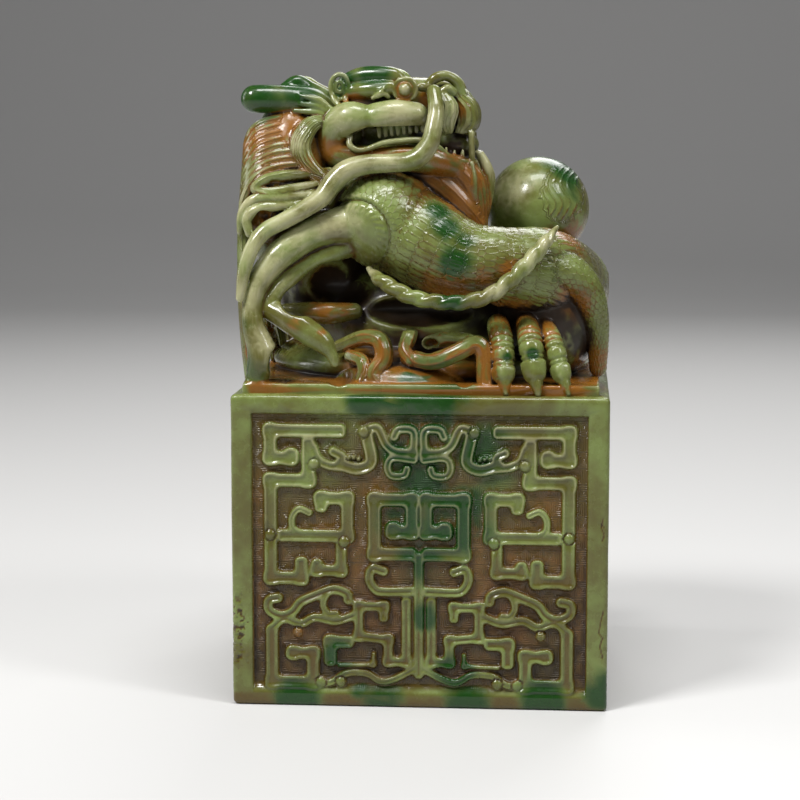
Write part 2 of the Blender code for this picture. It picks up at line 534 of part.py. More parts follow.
def seal(home, cutters):
    """The block with its rounded edges, the knob on it, and its panels."""
    stone = box("dragon_seal", (BLOCK_WIDTH, BLOCK_DEPTH, BLOCK_HEIGHT), (0, 0, BLOCK_HEIGHT / 2), home)
    edges = stone.modifiers.new("Edges", "BEVEL")
    edges.width = EDGE_ROUND
    edges.segments = 2
    combine(stone, "Knob", "UNION", knob(cutters))
    high = BLOCK_HEIGHT - TOP_BORDER - FOOT_BORDER
    middle = FOOT_BORDER + high / 2
    panels = [
        ("panels across", (BLOCK_WIDTH - 2 * SIDE_BORDER, 2 * GROUND_DEPTH, high), BLOCK_DEPTH / 2, 1),
        ("panels along", (2 * GROUND_DEPTH, BLOCK_DEPTH - 2 * SIDE_BORDER, high), BLOCK_WIDTH / 2, 0),
    ]
    for name, size, face, axis in panels:
        for side in (1, -1):
            centre = [0, 0, middle]
            centre[axis] = side * face
            combine(stone, "Panel", "DIFFERENCE", box(name, size, centre, cutters))
    heap = Heap()
    for turn in range(4):
        fret(heap, FLANK_FRET if turn % 2 else FRET + [STEM], turn)
    raised = combine(stone, "Fret", "UNION", heap.made("fret bands", cutters))
    raised.use_self = True
    flat = stone.modifiers.new("Flat", "DECIMATE")
    flat.decimate_type = "DISSOLVE"
    flat.angle_limit = math.radians(0.2)
    return stone


def jade():
    made = bpy.data.materials.new("green stone")
    made.use_nodes = True
    shader = made.node_tree.nodes["Principled BSDF"]
    shader.inputs["Base Color"].default_value = (0.20, 0.27, 0.07, 1)
    shader.inputs["Roughness"].default_value = 0.22
    shader.inputs["Metallic"].default_value = 0
    return made


def main():
    for obj in list(bpy.data.objects):
        bpy.data.objects.remove(obj)
    home = collection("Dragon seal")
    cutters = collection("Cutters")
    stone = seal(home, cutters)
    stone.data.materials.append(jade())


main()
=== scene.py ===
"""Looks of a carved seal stone: a block with fret panels under a crouching dragon with its pearl."""
import math

import bpy
import numpy as np
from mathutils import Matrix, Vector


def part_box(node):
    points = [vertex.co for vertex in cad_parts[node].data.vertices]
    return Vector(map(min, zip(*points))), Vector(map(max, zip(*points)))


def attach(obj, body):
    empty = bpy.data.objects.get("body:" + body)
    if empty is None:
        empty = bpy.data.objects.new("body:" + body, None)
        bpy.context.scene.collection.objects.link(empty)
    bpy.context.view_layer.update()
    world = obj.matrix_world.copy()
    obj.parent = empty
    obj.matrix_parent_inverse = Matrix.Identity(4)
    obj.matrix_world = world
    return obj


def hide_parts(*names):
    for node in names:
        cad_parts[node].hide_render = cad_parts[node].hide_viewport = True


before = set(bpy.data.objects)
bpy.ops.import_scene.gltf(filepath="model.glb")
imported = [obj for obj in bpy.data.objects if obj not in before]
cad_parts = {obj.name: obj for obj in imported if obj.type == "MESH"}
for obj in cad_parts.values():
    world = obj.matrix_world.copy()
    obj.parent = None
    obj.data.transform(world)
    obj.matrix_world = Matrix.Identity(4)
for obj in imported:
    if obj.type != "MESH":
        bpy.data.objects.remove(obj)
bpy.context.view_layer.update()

import openvdb
from mathutils import Vector

# Sizes, in metres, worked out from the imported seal
LOW, HIGH = (np.array(corner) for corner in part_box("dragon_seal"))
WIDTH, DEPTH = (HIGH - LOW)[:2]
BLOCK_HEIGHT = 0.0503
BLOCK_TOP = np.array([0, 0, BLOCK_HEIGHT])
MOST_TRIANGLES = 196000

# The knob is modelled in units of a sixtieth of the block's width, and of its depth, up from its top
UNITS = np.array([WIDTH, DEPTH, WIDTH]) / 60
GRAIN = 0.22
KNOB_LOW = np.array([-30, -30, -1.8])
KNOB_HIGH = np.array([30, 30, 52.4])
# Distances are kept up to FAR, worked out to REACH beyond a shape, and carved within SKIN of its surface
FAR = 2.0
REACH = 1.1
SKIN = 1.0
# Numbers that the skin carries for the material: lines of hair, and the columns and rows of the scales
MARKS = ("hair", "column", "row")


class Clay:
    """A field of distances to the carved surface, negative inside the stone, with the marks of its skin."""

    def __init__(self, low, high, grain):
        self.low = np.array(low, float)
        self.grain = grain
        self.size = np.ceil((np.array(high) - self.low) / grain).astype(int) + 1
        self.field = np.full(self.size, FAR, np.float32)
        self.marks = {name: np.zeros(self.size, np.float32) for name in MARKS}

    def window(self, low, high):
        """The slice of the field between two corners, and its coordinates along each axis."""
        first = np.clip(np.floor((np.array(low) - self.low) / self.grain).astype(int), 0, self.size)
        last = np.clip(np.ceil((np.array(high) - self.low) / self.grain).astype(int) + 1, 0, self.size)
        part = tuple(slice(a, b) for a, b in zip(first, last))
        axes = [
            (self.low[axis] + self.grain * np.arange(first[axis], last[axis])).astype(np.float32)
            for axis in range(3)
        ]
        return part, (axes[0][:, None, None], axes[1][None, :, None], axes[2][None, None, :])

    def add(self, part, distance, blend, marks):
        old = self.field[part]
        won = distance < old
        for name, field in self.marks.items():
            field[part] = np.where(won, marks.get(name, 0), field[part])
        self.field[part] = soft_min(old, distance, blend)

    def cut(self, part, distance, blend):
        old = self.field[part]
        for field in self.marks.values():
            field[part][-distance > old] = 0
        self.field[part] = soft_max(old, -distance, blend)

    def put(self, part, distance, blend, out, near, places, relief, marks):
        """Adds a shape, or cuts it away, with relief and marks worked out from places near its skin."""
        skin = {}
        if marks:
            for name, values in marks(*places).items():
                skin[name] = np.zeros(distance.shape, np.float32)
                skin[name][near] = values
        if relief:
            distance[near] -= relief(*places).astype(np.float32)
        if out:
            self.cut(part, distance, blend)
        else:
            self.add(part, distance, blend, skin)


def soft_min(first, second, blend):
    lowest = np.minimum(first, second)
    if blend <= 0:
        return lowest
    overlap = np.maximum(blend - np.abs(first - second), 0)
    return lowest - overlap * overlap * (0.25 / blend)


def soft_max(first, second, blend):
    return -soft_min(-first, -second, blend)


def spine_of(points, step):
    """A smooth curve through the points, sampled about every step; radii are carried along."""
    knots = np.array(points, float)
    if len(knots) == 2:
        count = max(2, int(np.linalg.norm(knots[1, :3] - knots[0, :3]) / step) + 1)
        return knots[0] + (knots[1] - knots[0]) * np.linspace(0, 1, count)[:, None]
    padded = np.vstack([2 * knots[0] - knots[1], knots, 2 * knots[-1] - knots[-2]])
    found = []
    for a, b, c, d in zip(padded, padded[1:], padded[2:], padded[3:]):
        count = max(2, int(np.ceil(np.linalg.norm(c[:3] - b[:3]) / step)))
        t = (np.arange(count) / count)[:, None]
        bend, twist = 2 * a - 5 * b + 4 * c - d, 3 * b - a - 3 * c + d
        found.append(0.5 * (2 * b + (c - a) * t + bend * t**2 + twist * t**3))
    found.append(knots[-1][None])
    return np.vstack(found)


def tangents_of(spine):
    tangents = np.gradient(spine[:, :3], axis=0)
    return tangents / np.linalg.norm(tangents, axis=1)[:, None]


def frames_of(tangents):
    """Two directions across the spine at each sample, turned as little as possible from the front."""
    across = np.array((0, -1, 0.01))
    first, second = [], []
    for tangent in tangents:
        across = across - tangent * across.dot(tangent)
        across /= np.linalg.norm(across)
        first.append(across)
        second.append(np.cross(tangent, across))
    return np.array(first), np.array(second)


def angle_round(spine, along, tangents, s, spots):
    """The angle round the strand, from its front, of spots beside it; s is how far along it they lie."""
    first, second = frames_of(tangents)
    forward, sideways = 0, 0
    for axis, spot in enumerate(spots):
        offset = spot - np.interp(s, along, spine[:, axis])
        forward = forward + offset * np.interp(s, along, first[:, axis])
        sideways = sideways + offset * np.interp(s, along, second[:, axis])
    return np.arctan2(sideways, forward)


def rope(clay, points, blend=0.25, relief=None, marks=None, flat=None, out=False):
    """A tapering strand through (across, deep, up, thick) points.

    relief(along, angle, thick) raises the skin and marks(along, angle, thick) marks it; flat is
    (direction, share) of a flattened strand; out cuts the strand away instead.
    """
    thickest = max(point[3] for point in points)
    spine = spine_of(points, max(0.4, 0.3 * thickest))
    along = np.concatenate([[0], np.cumsum(np.linalg.norm(np.diff(spine[:, :3], axis=0), axis=1))])
    reach = thickest * max(1, flat[1] if flat else 1) + REACH
    low, high = spine[:, :3].min(0) - reach, spine[:, :3].max(0) + reach
    part, (x, y, z) = clay.window(low, high)
    best = np.full(np.broadcast_shapes(x.shape, y.shape, z.shape), FAR, np.float32)
    where = np.zeros(best.shape, np.float32)
    tangents = tangents_of(spine)
    if flat:
        direction = np.array(flat[0], float)
        direction /= np.linalg.norm(direction)
        stretch = 1 / flat[1] ** 2 - 1
    for number in range(len(spine) - 1):
        a, b = spine[number], spine[number + 1]
        run = b[:3] - a[:3]
        length = run.dot(run)
        edge = reach - thickest + max(a[3], b[3])
        corner_low = np.minimum(a[:3], b[:3]) - edge
        corner_high = np.maximum(a[:3], b[:3]) + edge
        cut = []
        for axis, line in enumerate((x, y, z)):
            line = line.reshape(-1)
            cut.append(slice(*np.searchsorted(line, (corner_low[axis], corner_high[axis]))))
        cut = tuple(cut)
        px = x[cut[0]] - a[0]
        py = y[:, cut[1]] - a[1]
        pz = z[:, :, cut[2]] - a[2]
        share = np.clip((px * run[0] + py * run[1] + pz * run[2]) / length, 0, 1).astype(np.float32)
        dx, dy, dz = px - share * run[0], py - share * run[1], pz - share * run[2]
        square = dx * dx + dy * dy + dz * dz
        if flat:
            aside = dx * direction[0] + dy * direction[1] + dz * direction[2]
            square = square + aside * aside * stretch
        distance = np.sqrt(square) - (a[3] + share * (b[3] - a[3]))
        old = best[cut]
        if relief or marks:
            (ax, ay, az), (bx, by, bz) = tangents[number], tangents[number + 1]
            ahead = px * ax + py * ay + pz * az
            behind = (px - run[0]) * bx + (py - run[1]) * by + (pz - run[2]) * bz
            smooth = np.clip(ahead / np.maximum(ahead - behind, 1e-6), 0, 1)
            closer = (distance < old) | ((distance < old + 1e-4) & (ahead > 0))
            where[cut] = np.where(closer, along[number] + smooth * math.sqrt(length), where[cut])
        best[cut] = np.minimum(old, distance)
    near, places = None, None
    if relief or marks:
        near, spots = skin_of(best, x, y, z)
        s = where[near]
        places = s, angle_round(spine, along, tangents, s, spots), np.interp(s, along, spine[:, 3])
    clay.put(part, best, blend, out, near, places, relief, marks)


def skin_of(distance, x, y, z):
    """Which cells lie near the shape's skin, and their coordinates."""
    near = np.abs(distance) < SKIN
    return near, [line.reshape(-1)[index] for line, index in zip((x, y, z), np.nonzero(near))]


def ball(clay, centre, radii, blend=0.6, relief=None, marks=None, out=False):
    """An ellipsoid; relief(x, y, z) raises its skin and marks(x, y, z) marks it."""
    centre, radii = np.array(centre, float), np.broadcast_to(np.array(radii, float), 3)
    part, (x, y, z) = clay.window(centre - radii - REACH, centre + radii + REACH)
    px, py, pz = x - centre[0], y - centre[1], z - centre[2]
    near = np.sqrt((px / radii[0]) ** 2 + (py / radii[1]) ** 2 + (pz / radii[2]) ** 2)
    steep = np.sqrt((px / radii[0] ** 2) ** 2 + (py / radii[1] ** 2) ** 2 + (pz / radii[2] ** 2) ** 2)
    distance = near * (near - 1) / np.maximum(steep, 1e-4)
    distance = np.minimum(distance, FAR).astype(np.float32)
    near, spots = skin_of(distance, x, y, z)
    clay.put(part, distance, blend, out, near, spots, relief, marks)


def slab(clay, centre, halves, corner, blend=0.3):
    """A low block with rounded edges."""
    centre, halves = np.array(centre, float), np.array(halves, float)
    part, axes = clay.window(centre - halves - REACH, centre + halves + REACH)
    beyond = [np.abs(line - c) - h + corner for line, c, h in zip(axes, centre, halves)]
    outside = np.sqrt(sum(np.maximum(b, 0) ** 2 for b in beyond))
    inside = np.minimum(np.maximum(np.maximum(beyond[0], beyond[1]), beyond[2]), 0)
    clay.add(part, np.minimum(outside + inside - corner, FAR).astype(np.float32), blend, {})


# Surface patterns

def noise(points, size, seed):
    """Smooth noise between -1 and 1 with lumps of about this size."""
    lattice = np.random.default_rng(seed).uniform(-1, 1, (32, 32, 32)).astype(np.float32)
    scaled_points = points / size
    cell = np.floor(scaled_points).astype(int)
    share = scaled_points - cell
    share = share * share * (3 - 2 * share)
    total = np.zeros(len(points), np.float32)
    for dx in (0, 1):
        for dy in (0, 1):
            for dz in (0, 1):
                weight = 1
                for axis, step in enumerate((dx, dy, dz)):
                    weight = weight * (share[:, axis] if step else 1 - share[:, axis])
                corner = (cell + (dx, dy, dz)) % 32
                total += weight * lattice[corner[:, 0], corner[:, 1], corner[:, 2]]
    return total


def ease(values, first, last):
    """0 up to first, 1 from last, smooth between."""
    share = np.clip((values - first) / (last - first), 0, 1)
    return share * share * (3 - 2 * share)


# How far a scale reaches to its sides and towards its free edge, on a grid of one scale a unit
SCALE_WIDE = 0.56
SCALE_LONG = 1.15


def fish_scales(a, b):
    """Overlapping scales with their free edges towards +b; 0 to 1."""
    row = np.floor(b)
    height = np.zeros_like(b)
    for ahead in (1, 0, -1):
        centre_row = row + ahead
        shift = np.mod(centre_row, 2) * 0.5
        centre = np.floor(a - shift + 0.5) + shift
        radius = np.hypot((a - centre) / SCALE_WIDE, (b - centre_row) / SCALE_LONG)
        lift = np.clip((b - centre_row) / SCALE_LONG, 0, 1)
        height = np.where(radius < 1, (0.35 + 0.65 * lift) * (1 - 0.8 * radius**5), height)
    return height


def scaly(amount, place):
    """Relief and marks of fish scales whose column and row at a place are place(...)."""

    def relief(*where):
        return amount * fish_scales(*place(*where))

    def marks(*where):
        return dict(zip(("column", "row"), place(*where)))

    return {"relief": relief, "marks": marks}


def scaled(pitch, amount, thick):
    """Fish scales on a strand about this thick."""
    count = max(6, round(2 * math.pi * thick / pitch))
    return scaly(amount, lambda along, angle, radius: (angle / (2 * math.pi) * count, along / pitch))


def combed(count, depth, lines):
    """Relief of so many grooves along a strand, with finer lines marked between them."""

    def relief(along, angle, radius):
        wave = 0.5 + 0.5 * np.cos(angle * count)
        return -depth * (1 - wave**0.6) * np.clip(radius / 0.8, 0, 1)

    def marks(along, angle, radius):
        return {"hair": angle * lines / (2 * math.pi)}

    return {"relief": relief, "marks": marks}


def between(first, last, share):
    return [tuple(a + (b - a) * share for a, b in zip(p, q)) for p, q in zip(first, last)]


def fan(clay, first, last, count, **how):
    for number in range(count):
        rope(clay, between(first, last, number / (count - 1)), **how)


HEAD_MIDDLE = -9.0


def far_side(points):
    """The same points on the head's other side."""
    return [(across, 2 * HEAD_MIDDLE - deep, *rest) for across, deep, *rest in points]


def pair(clay, points, **how):
    rope(clay, points, **how)
    rope(clay, far_side(points), **how)


# The dragon

def core(clay):
    slab(clay, (0, 0.2, 0.1), (28.4, 28, 1.5), 0.5)
    ball(clay, (0, 1.5, 3), (27, 24.5, 6))
    ball(clay, (0, 2.5, 9), (24, 21, 15))
    ball(clay, (-19, -4, 25), (8.5, 15, 18))
    ball(clay, (-14, 2, 34), (8, 9, 10))


def body(clay):
    rope(clay, [(-5, -8, 26, 8), (-7, -3, 34, 8), (-8, -6, 41, 7), (-9, -9, 45, 5)], blend=1)
    rope(clay, [(-1.3, -10, 31.7, 4.3), (3, -9.5, 28, 4.5)], blend=1)
    belly = [(-6, -14, 27, 7.5), (0, -17, 23.5, 7.2), (6, -18.5, 20.6, 6.4), (12.2, -18.5, 19.9, 6),
             (18.6, -15, 18.5, 7.2), (21.5, -6, 16, 7.8), (23, 5, 15, 6.8), (18, 16.5, 15, 7),
             (6, 20.5, 14, 6.6), (-8, 20.3, 13.5, 5.8), (-18, 16.5, 15.5, 4.8), (-23.6, 10, 20, 3.6),
             (-25.2, 3.5, 24.5, 2.4), (-24.6, 0, 28.5, 1.2)]
    rope(clay, belly, blend=0.4, **scaled(1.15, 0.34, 6.6))
    rope(clay, [(-15.4, -18.3, 29.8, 0.35), (-14, -17.6, 31.8, 0.35), (-12.1, -17.3, 33.3, 0.35),
                (-9.7, -17.3, 34.5, 0.35), (-7.3, -17.5, 34.9, 0.35), (-4.1, -17.5, 34.4, 0.35)],
         blend=0.2)


# The arm's root: scales in rings round it begin at a groove, with a ring of curls inside
ARM_ROOT = (-10.8, 24.8)
ARM_GROOVE = 4.9


def shoulder(clay):
    def place(x, z):
        across, up = x - ARM_ROOT[0], z - ARM_ROOT[1]
        return np.arctan2(up, across) * 6.4, np.hypot(across, up) / 1.15

    def relief(x, y, z):
        turn, away = place(x, z)
        scales = 0.34 * fish_scales(turn, away) * ease(away, ARM_GROOVE, 5.3)
        curls = 0.18 * np.sin(2.1 * turn + 2 * away) ** 2 * ease(away, 3, 3.4) * (1 - ease(away, 4.3, 4.7))
        return scales + curls - 0.35 * np.exp(-(((away - ARM_GROOVE) / 0.35) ** 2)) * ease(turn, -3, 1)

    def marks(x, y, z):
        turn, away = place(x, z)
        outside = away > ARM_GROOVE + 0.1
        return {"column": turn * outside, "row": away * outside}

    ball(clay, (-6.4, -15, 27), (8.2, 8.8, 8.2), blend=0.5, relief=relief, marks=marks)


def haunch(clay):
    ball(clay, (19.6, -9, 11.5), (9.2, 11, 11.5), blend=0.4)
    arch = [(12.3, -19, 15, 1.6), (16.6, -20, 17, 2.2), (21.2, -18.8, 19.3, 3.2), (25.2, -17.3, 16.8, 3),
            (27.2, -16, 12.5, 2.4), (28, -15, 8.5, 1.8), (28.2, -14, 3, 1.3)]
    rope(clay, arch, blend=0.3, **scaled(0.95, 0.28, 3.2))
    for x, z, radius in ((18.3, 19.6, 0.9), (20, 20.8, 0.8), (20.3, 18.9, 0.9), (18.6, 21.4, 0.7)):
        curl = [(x + radius * math.cos(t), -22.2, z + radius * math.sin(t), 0.3)
                for t in np.linspace(0.5, 5.5, 8)]
        rope(clay, curl, blend=0.1)
    ball(clay, (16, 17, 11), (9, 8.5, 10), blend=0.5,
         **scaly(0.26, lambda x, y, z: (x / 1.2, 20 - z / 1.2)))


LEAF_LENGTH = 3.0


def fin(clay, points):
    """A crest whose leaning leaves overlap along it."""

    def leaves(along, angle, thick):
        phase = np.mod(along / LEAF_LENGTH + 0.4 * np.sin(angle), 1)
        return thick * (0.26 * np.sin(math.pi * phase**0.8) ** 0.7 - 0.18)

    rope(clay, points, blend=0.1, relief=leaves)


def fins(clay):
    fin(clay, [(-8.8, -20.5, 19, 0.8), (-6.2, -24, 17.6, 1.2), (-1.8, -26, 15.5, 1.25),
               (2.7, -27, 14.7, 1.2), (7.1, -27, 14.7, 1.2), (11, -26.6, 15.8, 1.25),
               (14.3, -26, 18.2, 1.3), (17, -25, 20.9, 1.3), (19.4, -23.5, 23.7, 1.1),
               (21.4, -21.5, 26.3, 0.3)])
    fin(clay, [(23, 2, 21.8, 0.6), (23.5, 12, 21.6, 1.3), (17, 20.5, 21.5, 1.3), (6, 24.5, 20.3, 1.3),
               (-8, 23.8, 18.8, 1.2), (-18, 19.5, 19.6, 1.1), (-24, 12.5, 22.8, 0.8)])


def toe(clay, root, knuckle, tip, thick):
    """A ringed toe bent over its knuckle, with a claw that comes down to the block."""

    def towards_tip(share, drop):
        return [k + (t - k) * share - fall for k, t, fall in zip(knuckle, tip, (0, 0, drop))]

    def rings(along, angle, radius):
        creases = sum(np.exp(-(((along - place) / 0.2) ** 2)) for place in (5.4, 6.3, 7.2, 9, 9.7))
        hem = 0.25 * ease(along, 9.8, 10.4) * (0.6 + 0.4 * np.cos(5 * angle))
        return hem - 0.3 * creases

    pad, cuff, nail = towards_tip(0.5, 0.3), towards_tip(0.6, 0.3), towards_tip(0.76, 0.2)
    rope(clay, [(*root, 0.95 * thick), (*knuckle, 1.05 * thick), (*pad, 0.95 * thick),
                (*cuff, 0.8 * thick)], blend=0.2, relief=rings)
    rope(clay, [(*cuff, 0.6 * thick), (*nail, 0.58 * thick), (*tip, 0.26 * thick)], blend=0.06)


def legs(clay):
    rope(clay, [(-7.5, -15.5, 27, 4.2), (-12, -18.3, 26.4, 3.4), (-15.3, -19.6, 25.8, 2.8),
                (-18.7, -21, 24.5, 2.5), (-22.1, -23, 22.3, 2.4), (-24.6, -24, 19.7, 2.1),
                (-26.4, -25, 16.7, 1.8), (-27, -25.5, 13.4, 1.6), (-26.6, -26, 10.2, 1.8),
                (-25.7, -26, 7.6, 2.2), (-25.2, -26, 5.4, 2.5), (-26.2, -25.8, 2.6, 1.8),
                (-26.6, -25.5, 0.4, 1.5)], blend=0.9)
    rope(clay, [(-11, -18, 23.5, 2), (-18.4, -21, 20.2, 1.5), (-22.2, -23, 17.1, 1.5),
                (-24.5, -24, 14, 1.6)], blend=0.3)
    rope(clay, [(-25, -24, 13.4, 1.6), (-21.6, -25, 11.9, 2.1), (-18.6, -26, 10.1, 2.1),
                (-15.8, -26.5, 8.3, 1.8), (-14.8, -26.8, 7.2, 1.3)], blend=0.2)
    rope(clay, [(-15, -26.8, 7.4, 1.15), (-14, -27, 6, 0.95), (-13.2, -27.5, 3.8, 0.4)], blend=0.1)
    toe(clay, (12, -19, 10.4), (12.8, -24.2, 7.8), (13.6, -28, 0.4), 1.9)
    toe(clay, (16.7, -19, 10.8), (17.3, -25, 8.4), (18.7, -28.5, 0.4), 1.9)
    toe(clay, (19.4, -19, 10.5), (20.9, -24.2, 8), (23.5, -28, 0.4), 1.6)
    for number in range(3):
        toe(clay, (9.5 + 3.6 * number, 19, 10.5), (9.0 + 4.4 * number, 24.6, 8),
            (8.6 + 5.0 * number, 28, 0.4), 1.8)
        toe(clay, (-20.5 + 2.4 * number, 22, 8.5), (-23.0 + 3.8 * number, 25.4, 6.6),
            (-24.0 + 4.8 * number, 28, 0.4), 1.5)
    rope(clay, [(-12, 6, 31, 4), (-17, 14, 27.5, 3.2), (-21.5, 20, 22, 2.8), (-23, 23.2, 15, 2.4),
                (-20.5, 24, 8.5, 3)], blend=0.3, **scaled(1.1, 0.18, 3))


def clouds(clay):
    ball(clay, (-3.5, -20.5, 0.6), (11, 6.2, 4), blend=0.4)
    strands = [
        [(-2.1, -23, 5.3, 0.9), (2.1, -25, 5.1, 1), (5.7, -25.5, 6.5, 1), (8.6, -25, 7.9, 1),
         (10, -25, 6.4, 1), (10.2, -25.5, 2.8, 1), (10.7, -26, 0.4, 1)],
        [(1, -21, 7.6, 0.8), (4.1, -21.5, 8.4, 0.9), (6.8, -22.5, 8.3, 0.9), (9.3, -23.5, 7.3, 0.8)],
        [(-13.5, -20, 6.8, 0.8), (-9.7, -21, 8.3, 0.9), (-6.8, -22.5, 8, 1), (-6.1, -23.5, 5.3, 1),
         (-7.6, -24.5, 2.5, 0.9), (-5.6, -25.5, 0.5, 0.8)],
        [(-11.5, -21, 5.3, 0.8), (-9.5, -23, 4.6, 0.8), (-9.2, -24, 2.5, 0.8), (-10.1, -25, 0.5, 0.7)],
        [(-1.9, -19, 10.3, 0.8), (-2.2, -21.5, 8.4, 0.9), (-2.7, -23, 6.6, 0.8), (-1.7, -24, 5.2, 0.8)],
    ]
    for strand in strands:
        rope(clay, [(*place, 1.55 * thick) for *place, thick in strand], blend=0.15, **combed(2, 0.12, 6))
    lines = combed(3, 0.25, 12)
    fan(clay, [(27, -4, 9, 1.2), (27.6, 2, 6, 1.3), (27.2, 8, 7, 1.3), (26, 12, 3, 1)],
        [(26.6, 8, 13, 1.2), (26.6, 14, 9, 1.3), (25.6, 20, 9, 1.3), (24, 24, 2, 1)], 3, **lines)
    fan(clay, [(-27, -16, 9, 1.2), (-27.8, -9, 6, 1.3), (-27.4, -3, 7, 1.3), (-27.4, 4, 2, 1)],
        [(-26.4, -6, 15, 1.2), (-27, 1, 12, 1.3), (-26.8, 8, 12, 1.3), (-26.6, 16, 5, 1)], 3, **lines)
    fan(clay, [(3, 22, 9, 1.1), (-1, 25, 7, 1.3), (-5, 26, 4.5, 1.2), (-9, 26.4, 1, 1)],
        [(-2, 20, 12, 1.1), (-8, 24.6, 9.5, 1.3), (-12, 25.6, 7, 1.2), (-14.5, 26.4, 2, 1)], 2, **lines)


def mane(clay):
    def line_of(y, z):
        return y / 1.7 + 0.05 * z

    def swept(x, y, z):
        return (0.35 * np.abs(np.cos(np.pi * line_of(y, z))) ** 0.6 - 0.25) * ease(y, -18, -15)

    def hairs(x, y, z):
        return {"hair": 4 * line_of(y, z) * (y > -16)}

    ball(clay, (-22, -11.5, 35.5), (6.9, 8.5, 11.5), relief=swept, marks=hairs)
    ball(clay, (-22.5, -14, 26), (6.6, 8.5, 9), relief=swept, marks=hairs)
    ball(clay, (-25.3, -13.2, 33), (4.3, 5.6, 10.5), relief=swept, marks=hairs)
    rope(clay, [(-22, -17.2, 36.2, 3.2), (-24, -19, 31.5, 3.9), (-25.3, -20.4, 27, 3.3)], blend=0.8,
         **combed(7, 0.25, 21))
    strands = combed(2, 0.2, 9)
    fan(clay, [(-17.6, -15.2, 43.2, 0.8), (-22.6, -16.4, 43.4, 1), (-26.8, -16.8, 42.2, 1.1),
               (-28.6, -16.8, 39.6, 1), (-29, -16.8, 35.6, 0.7)],
        [(-19.4, -19.5, 36, 0.8), (-23.4, -20.8, 35.6, 1), (-26.6, -21.4, 34, 1.1),
         (-28.6, -21.6, 30.6, 1), (-29.2, -21.6, 27, 0.6)], 8, blend=0.1, **strands)
    rope(clay, [(-15.2, -18.8, 34.9, 0.8), (-19, -20.3, 34.5, 0.9), (-22.1, -21.9, 34.3, 1),
                (-25, -22.6, 33.7, 0.95), (-26.7, -22.9, 32.2, 0.9), (-24.3, -23, 31.6, 1),
                (-21.2, -22.3, 32.1, 1), (-17.6, -20.7, 32.8, 0.8), (-15, -19.4, 33.2, 0.7)], blend=0.15,
         **combed(2, 0.1, 5))
    rope(clay, [(-15, -19.6, 31.6, 0.8), (-18.4, -21.6, 31.2, 0.85), (-22.4, -23.1, 30.8, 0.9),
                (-26.6, -23.5, 30.6, 0.9), (-28.6, -23.4, 28.4, 0.9), (-29.1, -23.3, 25.5, 0.6)],
         blend=0.15)
    rope(clay, [(-16, -20.8, 29.9, 0.7), (-19.4, -22.6, 29.7, 0.75), (-23.3, -23.6, 29.5, 0.8),
                (-26.4, -24.1, 29, 0.85), (-27.9, -24.3, 27.4, 0.85), (-27.4, -24.6, 25.2, 0.7)],
         blend=0.15)
    ball(clay, (-25.2, -24.2, 27.9), (1.3, 1.6, 1), blend=0.15, out=True)
    ball(clay, (-23.4, -23.2, 33.2), (1.1, 0.8, 0.5), blend=0.12, out=True)
    rope(clay, [(-28.6, -19, 30.9, 1.1), (-28.7, -21.4, 26.4, 1.2), (-28.7, -22.2, 20, 1.2),
                (-28.5, -22.4, 13.6, 1.3), (-28, -22.2, 7.1, 1.4), (-27.2, -22, 0.4, 1.5)], blend=0.2,
         **combed(3, 0.2, 12))
    fan(clay, [(-17, -12, 45, 1.6), (-24.5, -12, 42.5, 1.8), (-28, -12, 36, 1.8), (-28.4, -13, 27, 1)],
        [(-13, 0.5, 45, 1.6), (-20, 8.5, 39, 1.9), (-24.5, 12.5, 31, 1.9), (-26.5, 10, 22, 1)], 6,
        blend=0.15, **strands)
    fan(clay, [(-12, 1, 45, 1.6), (-16.5, 10, 39, 1.9), (-19, 14, 31.5, 1.7), (-22.5, 15.5, 25, 0.9)],
        [(-2, 0.5, 42.5, 1.5), (-4, 7.5, 37, 1.8), (-6, 12, 30, 1.6), (-10, 15, 25, 0.9)], 4, blend=0.15,
        **strands)


